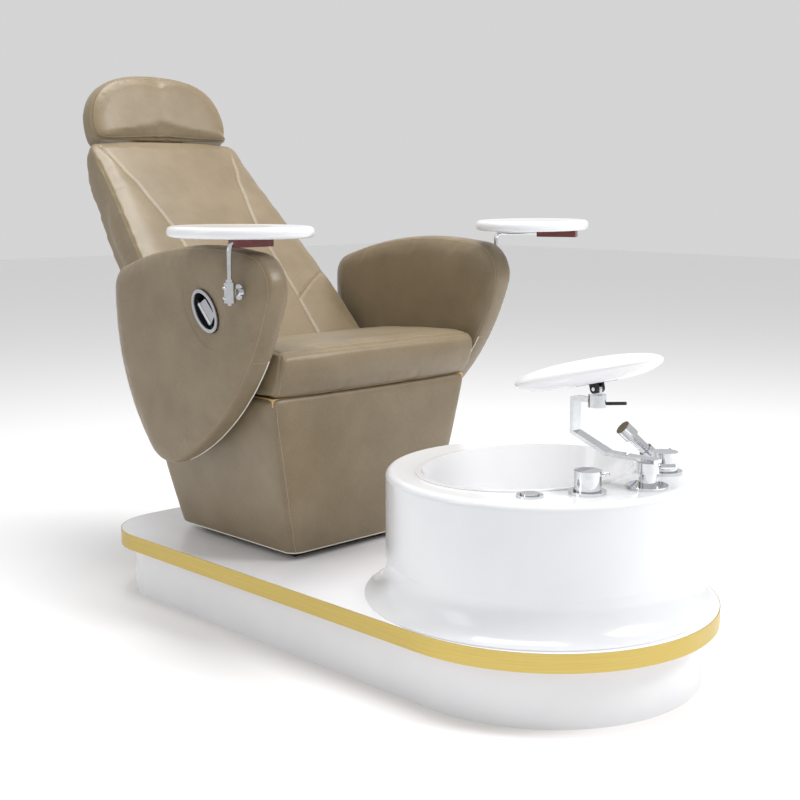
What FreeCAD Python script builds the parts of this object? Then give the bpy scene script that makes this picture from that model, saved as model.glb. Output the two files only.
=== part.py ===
import FreeCAD, Part
import math
import os

# Pedicure spa chair: a reclining upholstered chair on a white platform with a round foot basin.
# The frame: +Z up, the chair faces -Y towards the basin, +X is the sitter's left.
# The origin is on the floor, at the centre of the platform's outline. All sizes are millimetres.

Vector = FreeCAD.Vector
Rotation = FreeCAD.Rotation
doc = FreeCAD.newDocument("PedicureSpaChair")

sizes = {
    # Platform
    "platform_length": 1560, "platform_width": 758, "platform_corner": 156,
    "plinth_height": 127, "plinth_inset": 34, "plinth_wall": 10, "baseboard_thickness": 12,
    "deck_board_thickness": 34, "deck_skin": 5, "band_thickness": 2,
    "rail_width": 40, "rail_spread": 500, "rail_length": 1180, "crossbar_spacing": 430,
    # Tub and basin
    "tub_y": -390, "tub_radius": 330, "tub_height": 274, "tub_wall": 6, "tub_edge_round": 14,
    "cove_height": 85, "cove_reach": 46, "cove_lip": 3,
    "basin_half_width": 264, "basin_half_length": 207, "basin_shift": 30, "basin_depth": 245,
    "basin_wall": 5, "basin_narrowing": 68, "basin_lip_width": 8, "basin_lip_height": 3,
    "drain_bore": 21, "drain_pipe_wall": 3, "drain_flange_radius": 34, "drain_flange_height": 3,
    "drain_pipe_length": 140, "stopper_gap": 0.6, "stopper_stem": 8,
    "jet_height": 310, "jet_bore": 30, "jet_motor_radius": 45, "jet_motor_length": 90,
    "jet_grille_radius": 38, "jet_grille_thickness": 5, "jet_neck_length": 60, "jet_inset": 15,
    # Fittings on the rim
    "valve_flange_radius": 38, "valve_flange_height": 6, "valve_body_radius": 14,
    "valve_body_length": 60, "valve_spindle_radius": 8, "valve_spindle_length": 22,
    "knob_radius": 28, "knob_height": 40, "knob_pin_radius": 4, "knob_pin_length": 44,
    "hot_valve_x": -105, "hot_valve_y": -601, "cold_valve_x": 157, "cold_valve_y": -600,
    "running_gap": 0.3,
    "button_x": -208, "button_y": -540, "button_radius": 19, "button_bezel_radius": 27,
    "button_bezel_height": 4, "button_travel": 3, "button_length": 16,
    "spray_x": 212, "spray_y": -539, "spray_flange_radius": 21, "spray_radius": 12,
    "spray_length": 96, "spray_lean": 47, "spray_heading": 150, "spray_socket_length": 34,
    "spray_socket_wall": 4, "spray_head_radius": 17, "spray_head_length": 30,
    # Footrest
    "post_x": 20, "post_y": -655, "post_flange_radius": 42, "post_flange_height": 6,
    "post_radius": 18, "post_height": 30, "post_spindle_radius": 10, "collar_radius": 23,
    "collar_height": 22, "bar_width": 27, "bar_thickness": 8, "bar_reach": 187, "bar_low_reach": 98,
    "bar_rise": 105, "bar_first_rise": 34, "socket_setback": 56, "socket_radius": 19,
    "socket_height": 26, "pad_axis_height": 12, "pad_ear": 9, "pad_pin_radius": 4,
    "pad_half_length": 175, "pad_half_width": 118, "pad_half_height": 26, "pad_sole": 22,
    "pad_tilt": 14, "pad_shift": 19, "pad_plate_thickness": 5, "pad_plate_size": 62, "lever_rod": 3.5,
    "lever_length": 42, "thumb_screw_radius": 6, "thumb_screw_length": 30,
    # Chair base
    "base_bottom_half_width": 242, "base_top_half_width": 320, "base_front_foot": 150,
    "base_front_top": 122, "base_rear_foot": 604, "base_rear_top": 662, "base_corner": 24,
    "front_bolt_reach": 110, "rear_bolt_reach": 30, "middle_bolt_reach": 40,
    "front_bolt_share": 0.71, "rear_bolt_share": 0.76, "middle_bolt_share": 0.42,
    "spring_slot_gap": 4, "roll_core": 48, "board_inset": 20, "board_corner": 30,
    "rear_pad_inset": 2, "slot_gap": 2, "ear_length": 60, "strip_overlap": 60,
    "headrest_shoulder": 35, "headrest_small_corner": 14,
    "base_gap": 12, "seat_base_height": 545, "rear_base_height": 440, "rear_step_y": 445,
    "carcass_half_width": 205, "carcass_front": 188, "carcass_rear": 542, "board": 18,
    "bolt_radius": 5, "bolt_head_radius": 9, "bolt_head_height": 6, "bolt_inset": 40,
    # Seat
    "seat_half_width": 320, "seat_front": 93, "seat_front_height": 105, "seat_rear_drop": 28,
    "seat_nose": 27, "seat_round": 24,
    # Backrest: the hinge line, and the slab along it
    "hinge_y": 540, "hinge_z": 585, "recline": 45, "roll_radius": 88, "roll_gap": 5,
    "back_length": 722, "back_half_width": 300, "back_top_half_width": 246, "back_corner": 42,
    "back_board_thickness": 15, "back_board_start": 48, "back_board_end": 620,
    "rear_pad_thickness": 32, "rear_pad_end": 655, "strap_thickness": 6, "strap_spread": 218,
    "strap_length": 300, "strap_depth": 26, "hinge_pin_radius": 8, "hinge_boss": 20,
    "bracket_gap": 0.5, "spring_arm": 70, "spring_radius": 14, "spring_body": 200,
    "rod_radius": 5, "spring_foot_y": 300, "eye_gap": 5.5,
    # Headrest
    "headrest_rise": 723, "headrest_forward": 59, "headrest_lean": 15, "headrest_half_width": 225,
    "headrest_height": 180, "headrest_thickness": 68, "headrest_front": 36, "headrest_corner": 95,
    "headrest_foot": 16, "headrest_plate": 5, "headrest_strip": 100, "headrest_pin": 5, "knuckle": 9, "lug_width": 28,
    # Arms: an outline of three round corners and three bulging sides, and its layers
    "arm_face": 400, "arm_outer_layer": 28, "arm_core_layer": 15, "arm_inner_face": 322,
    "arm_front_y": 112, "arm_front_z": 817, "arm_front_round": 82,
    "arm_rear_y": 592, "arm_rear_z": 790, "arm_rear_round": 60,
    "arm_foot_y": 440, "arm_foot_z": 474, "arm_foot_round": 98,
    "arm_top_bulge": 1000, "arm_rear_bulge": 510, "arm_front_bulge": 650,
    # Recline lever in the right arm
    "cup_y": 255, "cup_z": 760, "cup_turn": 44, "cup_half_length": 50, "cup_half_width": 31,
    "cup_depth": 27, "cup_wall": 2, "bezel_width": 6, "bezel_thickness": 3,
    "paddle_length": 62, "paddle_width": 27, "paddle_thickness": 4, "paddle_pin_offset": 13,
    "paddle_pin_radius": 3, "paddle_depth": 8,
    # Trays
    "right_post_y": 121, "left_post_y": 128, "tray_post_reach": 30, "tray_clamp_z": 811, "rosette_radius": 17,
    "rosette_thickness": 6, "clamp_size": 26, "clamp_height": 44, "tray_rod_radius": 5,
    "tray_rod_z": 916, "tray_rod_bend": 16, "tray_block_length": 100, "tray_block_width": 36,
    "tray_block_height": 18, "right_block_start": 10, "left_block_start": 110,
    "right_rod_heading": 0, "left_rod_heading": -62, "right_tray_reach": 87, "left_tray_reach": 116, "tray_half_width": 165,
    "tray_half_length": 128, "tray_thickness": 26, "right_tray_heading": 36,
    "left_tray_heading": -86, "set_screw_radius": 3,
}
sheet = doc.addObject("Spreadsheet::Sheet", "Sizes")
for row, (name, number) in enumerate(sizes.items(), start=1):
    sheet.set(f"A{row}", name)
    sheet.set(f"B{row}", str(number))
    sheet.setAlias(f"B{row}", name)
doc.recompute()


def size(name):
    """The value of one cell of the sheet."""
    return float(getattr(sheet, name))


# Levels and places that follow from the driving dimensions
deck_top = size("plinth_height") + size("deck_board_thickness") + size("deck_skin")
rim_top = deck_top + size("tub_height")
basin_y = size("tub_y") + size("basin_shift")
basin_floor = rim_top - size("basin_depth")
base_bottom = deck_top + size("base_gap")
seat_board_top = size("seat_base_height") + size("board")
nodes = []


def keep(item, label):
    """Names a sub-part and puts it on the list that is written."""
    item.Label = label
    nodes.append(item)
    return item


def bind(item, **expressions):
    """Ties properties of an object to cells of the sheet."""
    for name, text in expressions.items():
        item.setExpression(name, text)


def place(item, x, y, z, turn=None):
    item.Placement = FreeCAD.Placement(Vector(x, y, z), turn or Rotation())
    return item


def box(x, y, z, length, width, height):
    """A box centred on x and y that stands on z. Sizes are expressions on the sheet."""
    item = doc.addObject("Part::Box", "Box")
    bind(item, Length=length, Width=width, Height=height)
    doc.recompute()
    return place(item, x - item.Length.Value / 2, y - item.Width.Value / 2, z)


def rod(x, y, z, radius, height, along=Vector(0, 0, 1)):
    """A cylinder that starts at a point and runs along a direction."""
    item = doc.addObject("Part::Cylinder", "Rod")
    bind(item, Radius=radius, Height=height)
    return place(item, x, y, z, Rotation(Vector(0, 0, 1), along))


def join(items):
    item = doc.addObject("Part::MultiFuse", "Joined")
    item.Shapes = items
    return item


def group(items):
    """Separate solids that share one node."""
    item = doc.addObject("Part::Compound", "Group")
    item.Links = items
    return item


def cut(base, *tools):
    item = doc.addObject("Part::Cut", "Trimmed")
    item.Base = base
    item.Tool = tools[0] if len(tools) == 1 else join(list(tools))
    return item


def common(base, tool):
    item = doc.addObject("Part::Common", "Shared")
    item.Base = base
    item.Tool = tool
    return item


def fixed(shape):
    """A shape worked out here from sizes of the sheet."""
    item = doc.addObject("Part::Feature", "Shaped")
    item.Shape = shape
    return item


def plane_of(body, role):
    return next(item for item in body.Origin.OriginFeatures if item.Role == role)


def prism(outlines, thickness, x=0, y=0, z=0, turn=None):
    """A body padded from a sketch of closed outlines. The thickness is an expression."""
    body = doc.addObject("PartDesign::Body", "Body")
    sketch = body.newObject("Sketcher::SketchObject", "Outline")
    sketch.AttachmentSupport = [(plane_of(body, "XY_Plane"), "")]
    sketch.MapMode = "FlatFace"
    for outline in outlines:
        sketch.addGeometry(outline, False)
    pad = body.newObject("PartDesign::Pad", "Pad")
    pad.Profile = sketch
    bind(pad, Length=thickness)
    sketch.Visibility = False
    return place(body, x, y, z, turn)


# Turns a sketch drawn in (y, z) so that it is padded along +X
ALONG_X = Rotation(Vector(1, 1, 1), 120)


def rounded(points, radii):
    """A closed polygon of (x, y) points with a round corner at each, as sketch geometry."""
    count = len(points)
    ends = []
    arcs = []
    for i, radius in enumerate(radii):
        corner = Vector(*points[i], 0)
        before = (Vector(*points[i - 1], 0) - corner).normalize()
        after = (Vector(*points[(i + 1) % count], 0) - corner).normalize()
        half = before.getAngle(after) / 2
        reach = radius / math.tan(half)
        middle = corner + (before + after).normalize() * (radius / math.sin(half) - radius)
        start = corner + before * reach
        stop = corner + after * reach
        ends.append((start, stop))
        arcs.append(Part.Arc(start, middle, stop) if radius > 0 else None)
    outline = []
    for i in range(count):
        if arcs[i]:
            outline.append(arcs[i])
        start = ends[i][1]
        stop = ends[(i + 1) % count][0]
        if start.distanceToPoint(stop) > 1e-6:
            outline.append(Part.LineSegment(start, stop))
    return outline


def circle(radius, x=0, y=0):
    return [Part.Circle(Vector(x, y, 0), Vector(0, 0, 1), radius)]


def oval(half_x, half_y, x=0, y=0):
    """An ellipse as sketch geometry. The longer half is the major one."""
    if half_x >= half_y:
        ends = Vector(x + half_x, y, 0), Vector(x, y + half_y, 0)
    else:
        ends = Vector(x, y + half_y, 0), Vector(x - half_x, y, 0)
    return [Part.Ellipse(ends[0], ends[1], Vector(x, y, 0))]


def ribbon(points, thickness):
    """The outline of a flat bar that follows a line of (x, y) points."""
    line = [Vector(*point, 0) for point in points]
    sides = []
    for i, point in enumerate(line):
        into = (point - line[i - 1]).normalize() if i else (line[1] - point).normalize()
        out = (line[i + 1] - point).normalize() if i + 1 < len(line) else into
        normal = Vector(-into.y - out.y, into.x + out.x, 0).normalize()
        reach = thickness / 2 / normal.dot(Vector(-into.y, into.x, 0))
        sides.append((point + normal * reach, point - normal * reach))
    around = [left for left, right in sides] + [right for left, right in reversed(sides)]
    flat = [(point.x, point.y) for point in around]
    return rounded(flat, [0] * len(flat))


# Platform: floor board, skirt, steel rails, deck board, moulded top and the metal band round it

def platform_outline(inset):
    half_width = size("platform_width") / 2 - inset
    half_length = size("platform_length") / 2 - inset
    corners = [(-half_width, -half_length), (half_width, -half_length),
               (half_width, half_length), (-half_width, half_length)]
    rear = size("platform_corner") - inset
    return rounded(corners, [half_width, half_width, rear, rear])


def make_platform():
    inner = size("plinth_inset") + size("plinth_wall")
    keep(prism([platform_outline(inner)], "Sizes.baseboard_thickness"), "baseboard")
    skirt = [platform_outline(size("plinth_inset")), platform_outline(inner)]
    keep(prism(skirt, "Sizes.plinth_height"), "plinth_skirt")
    rails = []
    rail_z = size("baseboard_thickness")
    rail_height = "Sizes.plinth_height - Sizes.baseboard_thickness"
    for side in (-1, 1):
        x = side * size("rail_spread") / 2
        rails.append(box(x, 0, rail_z, "Sizes.rail_width", "Sizes.rail_length", rail_height))
    for step in (-1, 0, 1):
        y = (step + 0.35) * size("crossbar_spacing")
        length = "Sizes.rail_spread - Sizes.rail_width"
        rails.append(box(0, y, rail_z, length, "Sizes.rail_width", rail_height))
    keep(group(rails), "frame_rails")
    band = size("band_thickness")
    bolts = [circle(size("bolt_radius"), x, y) for x, y in bolt_places()]
    pipe = circle(size("drain_bore") + size("drain_pipe_wall"), 0, basin_y)
    deck = [platform_outline(band), pipe] + bolts
    deck_z = size("plinth_height")
    keep(prism(deck, "Sizes.deck_board_thickness", z=deck_z), "deck_board")
    skin_z = deck_z + size("deck_board_thickness")
    keep(prism(deck, "Sizes.deck_skin", z=skin_z), "deck_shell")
    edge = [platform_outline(0), platform_outline(band)]
    keep(prism(edge, "Sizes.deck_board_thickness + Sizes.deck_skin", z=deck_z), "trim_band")


def bolt_places():
    x = size("carcass_half_width") - size("bolt_inset")
    front = size("carcass_front") + size("bolt_inset")
    rear = size("carcass_rear") - size("bolt_inset")
    return [(-x, front), (x, front), (-x, rear), (x, rear)]


# Tub: a turned shell that flares into the deck, with an oval basin hung in its top

def make_tub_shell():
    radius = size("tub_radius")
    wall = size("tub_wall")
    foot = radius + size("cove_reach")
    cove = size("cove_height")
    edge = size("tub_edge_round")
    height = size("tub_height")
    lip = size("cove_lip")
    diagonal = math.sqrt(0.5)
    body = doc.addObject("PartDesign::Body", "Body")
    sketch = body.newObject("Sketcher::SketchObject", "Section")
    sketch.AttachmentSupport = [(plane_of(body, "XZ_Plane"), "")]
    sketch.MapMode = "FlatFace"
    reach = foot - radius
    rise = cove - lip
    cove_middle = Vector(foot - reach * diagonal, cove - rise * diagonal, 0)
    edge_middle = Vector(radius - edge + edge * diagonal, height - edge + edge * diagonal, 0)
    around = [Vector(radius - wall, 0, 0), Vector(foot, 0, 0), Vector(foot, lip, 0),
              Vector(radius, cove, 0), Vector(radius, height - edge, 0),
              Vector(radius - edge, height, 0), Vector(0, height, 0),
              Vector(0, height - wall, 0), Vector(radius - wall, height - wall, 0)]
    for i, start in enumerate(around):
        stop = around[(i + 1) % len(around)]
        if i == 2:
            sketch.addGeometry(Part.Arc(start, cove_middle, stop), False)
        elif i == 4:
            sketch.addGeometry(Part.Arc(start, edge_middle, stop), False)
        else:
            sketch.addGeometry(Part.LineSegment(start, stop), False)
    turned = body.newObject("PartDesign::Revolution", "Turned")
    turned.Profile = sketch
    turned.ReferenceAxis = (sketch, ["V_Axis"])
    bind(turned, Angle="360")
    top = size("tub_height")
    place(body, 0, size("tub_y"), deck_top)
    mouth = prism([oval(size("basin_half_width"), size("basin_half_length"), 0, basin_y)],
                  "Sizes.tub_wall * 3", z=deck_top + top - 2 * wall)
    holes = [mouth]
    through = "Sizes.tub_wall * 3"
    below = rim_top - 2 * wall
    for side in ("hot", "cold"):
        x = size(side + "_valve_x")
        y = size(side + "_valve_y")
        holes.append(rod(x, y, below, "Sizes.valve_body_radius", through))
    holes.append(rod(size("button_x"), size("button_y"), below,
                     "Sizes.button_radius + Sizes.running_gap + Sizes.spray_socket_wall", through))
    keep(cut(body, *holes), "tub_shell")


def ellipse_at(half_x, half_y, z):
    item = doc.addObject("Part::Ellipse", "Oval")
    bind(item, MajorRadius=half_x, MinorRadius=half_y)
    return place(item, 0, basin_y, z)


def bowl(offset, bottom, top):
    """A solid that narrows downwards, with oval sections. The offset is an expression."""
    rim = ellipse_at(f"Sizes.basin_half_width - {offset}", f"Sizes.basin_half_length - {offset}", top)
    floor = ellipse_at(f"Sizes.basin_half_width - Sizes.basin_narrowing - {offset}",
                       f"Sizes.basin_half_length - Sizes.basin_narrowing - {offset}", bottom)
    item = doc.addObject("Part::Loft", "Bowl")
    item.Sections = [rim, floor]
    item.Solid = True
    return item


def jet_wall_y():
    """Where the basin's front wall stands at the height of the jet."""
    fall = (rim_top - size("jet_height")) / size("basin_depth")
    return basin_y - size("basin_half_length") + fall * size("basin_narrowing")


def make_basin():
    wall = "Sizes.basin_wall"
    lip_top = rim_top + size("basin_lip_height")
    outside = bowl("Sizes.running_gap", basin_floor - size("basin_wall"), rim_top)
    inside = bowl(wall, basin_floor, lip_top)
    lip = prism([oval(size("basin_half_width") + size("basin_lip_width"),
                      size("basin_half_length") + size("basin_lip_width"), 0, basin_y)],
                "Sizes.basin_lip_height", z=rim_top)
    outlet = rod(0, basin_y, basin_floor - 4 * size("basin_wall"),
                 "Sizes.drain_bore + Sizes.drain_pipe_wall", "Sizes.basin_wall * 8")
    port = rod(0, jet_wall_y() - size("jet_neck_length"), size("jet_height"),
               "Sizes.jet_bore", "Sizes.jet_neck_length * 2", Vector(0, 1, 0))
    keep(cut(join([outside, lip]), inside, outlet, port), "basin_liner")

    # Drain: a flanged pipe and a stopper that lifts
    pipe = "Sizes.drain_pipe_length"
    sleeve_bottom = basin_floor - size("drain_pipe_length")
    sleeve = rod(0, basin_y, sleeve_bottom, "Sizes.drain_bore + Sizes.drain_pipe_wall", pipe)
    flange = rod(0, basin_y, basin_floor, "Sizes.drain_flange_radius", "Sizes.drain_flange_height")
    bore = rod(0, basin_y, sleeve_bottom - 1, "Sizes.drain_bore",
               f"{pipe} + Sizes.drain_flange_height + 2")
    keep(cut(join([sleeve, flange]), bore), "drain_fitting")
    plug = rod(0, basin_y, basin_floor - size("drain_flange_height"),
               "Sizes.drain_bore - Sizes.stopper_gap", "Sizes.drain_flange_height * 2")
    stem = rod(0, basin_y, basin_floor - size("drain_flange_height") - size("stopper_stem"),
               "Sizes.rod_radius", "Sizes.stopper_stem + Sizes.drain_flange_height")
    keep(join([plug, stem]), "drain_stopper")

    # Jet: a motor behind the front wall, its neck through the wall and a grille inside
    grille_y = jet_wall_y() + size("basin_wall") + size("jet_inset")
    neck_start = grille_y - size("jet_neck_length")
    back = Vector(0, -1, 0)
    neck = rod(0, grille_y, size("jet_height"), "Sizes.jet_bore", "Sizes.jet_neck_length", back)
    motor = rod(0, neck_start, size("jet_height"), "Sizes.jet_motor_radius",
                "Sizes.jet_motor_length", back)
    grille = rod(0, grille_y, size("jet_height"), "Sizes.jet_grille_radius",
                 "Sizes.jet_grille_thickness", Vector(0, 1, 0))
    keep(join([neck, motor, grille]), "jet_unit")


# Fittings on the rim: two valves, the push button and the hand spray in its holder

def make_rim_fittings():
    flanges = []
    for side, heading in (("hot", -60), ("cold", 20)):
        x = size(side + "_valve_x")
        y = size(side + "_valve_y")
        flange = rod(x, y, rim_top, "Sizes.valve_flange_radius", "Sizes.valve_flange_height")
        body = rod(x, y, rim_top - size("valve_body_length"), "Sizes.valve_body_radius",
                   "Sizes.valve_body_length")
        spindle_z = rim_top + size("valve_flange_height")
        spindle = rod(x, y, spindle_z, "Sizes.valve_spindle_radius", "Sizes.valve_spindle_length")
        flanges.append(join([flange, body, spindle]))
        knob_z = spindle_z + size("running_gap")
        knob = rod(x, y, knob_z, "Sizes.knob_radius", "Sizes.knob_height")
        angle = math.radians(heading)
        outwards = Vector(math.cos(angle), math.sin(angle), 0.25)
        pin = rod(x, y, knob_z + size("knob_height") * 0.62, "Sizes.knob_pin_radius",
                  "Sizes.knob_pin_length", outwards)
        bore = rod(x, y, knob_z - 1, "Sizes.valve_spindle_radius + Sizes.running_gap",
                   "Sizes.valve_spindle_length + 2")
        keep(cut(join([knob, pin]), bore), side + "_valve_knob")
    keep(group(flanges), "valve_flanges")

    x = size("button_x")
    y = size("button_y")
    tube_length = "Sizes.button_length * 2"
    tube_z = rim_top - 2 * size("button_length")
    bezel = rod(x, y, rim_top, "Sizes.button_bezel_radius", "Sizes.button_bezel_height")
    tube = rod(x, y, tube_z, "Sizes.button_radius + Sizes.running_gap + Sizes.spray_socket_wall",
               tube_length)
    well = rod(x, y, rim_top - size("button_length") - size("button_travel") - 2,
               "Sizes.button_radius + Sizes.running_gap", tube_length)
    keep(cut(join([bezel, tube]), well), "air_button_bezel")
    top = rim_top + size("button_bezel_height") + size("button_travel")
    keep(rod(x, y, top - size("button_length"), "Sizes.button_radius", "Sizes.button_length"),
         "air_button")

    # The spray leans towards the basin in a sloping socket
    lean = math.radians(size("spray_lean"))
    heading = math.radians(size("spray_heading"))
    along = Vector(math.cos(heading) * math.sin(lean), math.sin(heading) * math.sin(lean),
                   math.cos(lean))
    x = size("spray_x")
    y = size("spray_y")
    foot = Vector(x, y, rim_top + size("spray_radius"))
    socket = rod(foot.x, foot.y, foot.z, "Sizes.spray_radius + Sizes.spray_socket_wall",
                 "Sizes.spray_socket_length", along)
    flange = rod(x, y, rim_top, "Sizes.spray_flange_radius",
                 "Sizes.spray_radius + Sizes.spray_socket_wall")
    start = foot + along * size("spray_radius")
    hollow = rod(start.x, start.y, start.z, "Sizes.spray_radius + Sizes.running_gap",
                 "Sizes.spray_length", along)
    keep(cut(join([socket, flange]), hollow), "spray_holder")
    start = start + along * size("running_gap")
    handle = rod(start.x, start.y, start.z, "Sizes.spray_radius", "Sizes.spray_length", along)
    head = start + along * (size("spray_length") - size("spray_head_length"))
    face = rod(head.x, head.y, head.z, "Sizes.spray_head_radius", "Sizes.spray_head_length", along)
    keep(join([handle, face]), "spray_handset")


# Footrest: a post on the rim, a swinging bent bar and a tilting oval pad

def make_footrest():
    x = size("post_x")
    y = size("post_y")
    flange = rod(x, y, rim_top, "Sizes.post_flange_radius", "Sizes.post_flange_height")
    shaft_length = "Sizes.post_height - Sizes.post_flange_height"
    shaft = rod(x, y, rim_top + size("post_flange_height"), "Sizes.post_radius", shaft_length)
    spindle = rod(x, y, rim_top + size("post_height"), "Sizes.post_spindle_radius",
                  "Sizes.collar_height")
    keep(join([flange, shaft, spindle]), "footrest_post")

    collar_z = rim_top + size("post_height") + size("running_gap")
    collar = rod(x, y, collar_z, "Sizes.collar_radius", "Sizes.collar_height")
    bore = rod(x, y, collar_z - 1, "Sizes.post_spindle_radius + Sizes.running_gap",
               "Sizes.collar_height + 1")
    bar_z = collar_z + size("collar_height") + size("bar_thickness") / 2
    top_z = bar_z + size("bar_rise")
    far_y = y + size("bar_reach")
    socket_y = far_y - size("socket_setback")
    line = [(y - size("collar_radius"), bar_z), (y + size("bar_low_reach"), bar_z),
            (far_y, bar_z + size("bar_first_rise")), (far_y, top_z), (socket_y, top_z)]
    bar = prism([ribbon(line, size("bar_thickness"))], "Sizes.bar_width",
                x=x - size("bar_width") / 2, turn=ALONG_X)
    socket_z = top_z - size("socket_height") / 2
    room = rod(x, socket_y, socket_z - 1, "Sizes.socket_radius", "Sizes.socket_height + 2")
    screw_z = collar_z + size("collar_height") / 2
    angle = math.radians(-40)
    outwards = Vector(math.cos(angle), math.sin(angle), 0)
    screw_length = "Sizes.thumb_screw_length"
    screw_start = Vector(x, y, screw_z) + outwards * (size("collar_radius") - 8)
    screw_hole = rod(screw_start.x, screw_start.y, screw_z,
                     "Sizes.set_screw_radius + Sizes.running_gap", screw_length, outwards)
    keep(cut(join([collar, bar]), bore, room, screw_hole), "footrest_arm")
    shank_start = screw_start + outwards * 2
    shank = rod(shank_start.x, shank_start.y, screw_z, "Sizes.set_screw_radius", screw_length,
                outwards)
    grip_start = Vector(x, y, screw_z) + outwards * (size("collar_radius") + 2)
    grip = rod(grip_start.x, grip_start.y, screw_z, "Sizes.thumb_screw_radius", screw_length,
               outwards)
    keep(join([shank, grip]), "collar_screw")

    # The socket ends in an ear whose pin lies along X, and the pad tilts on it
    axis_z = socket_z + size("socket_height") + size("pad_axis_height")
    ear = size("pad_ear")
    socket = rod(x, socket_y, socket_z, "Sizes.socket_radius", "Sizes.socket_height")
    across = Vector(1, 0, 0)
    neck = box(x, socket_y, socket_z + size("socket_height"), "Sizes.pad_ear", "Sizes.pad_ear * 2",
               "Sizes.pad_axis_height")
    boss = rod(x - ear / 2, socket_y, axis_z, "Sizes.pad_ear", "Sizes.pad_ear", across)
    pin = rod(x - 1.6 * ear, socket_y, axis_z, "Sizes.pad_pin_radius", "Sizes.pad_ear * 3.2",
              across)
    keep(join([socket, neck, boss, pin]), "footrest_socket")

    # Pieces below are made level at the pin and then tilted about it
    tilt = Rotation(across, -size("pad_tilt"))
    pivot = Vector(x, socket_y, axis_z)
    plate_z = ear + 2
    plate = box(0, 0, plate_z, "Sizes.pad_plate_size", "Sizes.pad_plate_size",
                "Sizes.pad_plate_thickness")
    ears = []
    for side in (-1, 1):
        ear_x = side * (ear + size("running_gap"))
        wall = box(ear_x, 0, 0, "Sizes.pad_ear", "Sizes.pad_ear * 2", "Sizes.pad_ear + 2")
        eye = rod(ear_x - ear / 2, 0, 0, "Sizes.pad_ear", "Sizes.pad_ear", across)
        hole = rod(ear_x - ear / 2 - 1, 0, 0, "Sizes.pad_pin_radius + Sizes.running_gap",
                   "Sizes.pad_ear + 2", across)
        ears.append(cut(join([wall, eye]), hole))
    hinge = join([plate] + ears)
    doc.recompute()
    keep(place(hinge, *pivot, tilt), "pad_hinge")
    sole_z = plate_z + size("pad_plate_thickness")
    form = Part.makeSphere(1)
    stretch = FreeCAD.Matrix()
    stretch.scale(size("pad_half_width"), size("pad_half_length"), size("pad_half_height"))
    form = form.transformGeometry(stretch)
    form.translate(Vector(0, size("pad_shift"), sole_z + size("pad_sole")))
    above = Part.makeBox(1000, 1000, 1000, Vector(-500, -500, sole_z))
    pad = fixed(form.common(above))
    keep(place(pad, *pivot, tilt), "footrest_pad")

    # The small lever that locks the socket
    lever_z = socket_z + size("socket_height") / 4
    along = Vector(math.cos(angle), math.sin(angle), 0)
    start = Vector(x, socket_y, lever_z) + along * (size("socket_radius") + size("running_gap"))
    keep(rod(start.x, start.y, lever_z, "Sizes.lever_rod", "Sizes.lever_length", along),
         "pivot_lever")


# Chair base: a plate on the deck, a box of boards and padded panels that flare upwards

def base_wire(half_width, front, rear, z):
    corner = size("base_corner")
    corners = [(-half_width, front), (half_width, front), (half_width, rear), (-half_width, rear)]
    wire = Part.Wire([edge.toShape() for edge in rounded(corners, [corner] * 4)])
    wire.translate(Vector(0, 0, z))
    return wire


def arm_bolt_holes(side):
    """The bores for one arm's bolts through the base."""
    start = side * (size("carcass_half_width") - size("board") - 1)
    return [rod(start, y, z, "Sizes.bolt_radius", "Sizes.arm_face", Vector(side, 0, 0))
            for y, z in arm_bolt_places()]


def spring_ends():
    """The gas spring's pin on the base plate and its pin on the back."""
    lean = math.radians(size("recline"))
    front = Vector(0, -math.cos(lean), math.sin(lean))
    hinge = Vector(0, size("hinge_y"), size("hinge_z"))
    foot_z = base_bottom + 2 * size("spring_radius") + size("board")
    return Vector(0, size("spring_foot_y"), foot_z), hinge - front * size("spring_arm")


def spring_slot():
    """Room for the gas spring's rod where it passes over the rear board."""
    foot, end = spring_ends()
    y = size("carcass_rear") - size("board")
    crossing = foot.z + (end.z - foot.z) * (y - foot.y) / (end.y - foot.y)
    low = crossing - size("spring_radius") - size("spring_slot_gap")
    wide = 2 * (size("spring_radius") + size("spring_slot_gap"))
    return Part.makeBox(wide, size("arm_face"), size("hinge_z"),
                        Vector(-wide / 2, y - size("spring_slot_gap"), low))


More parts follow.
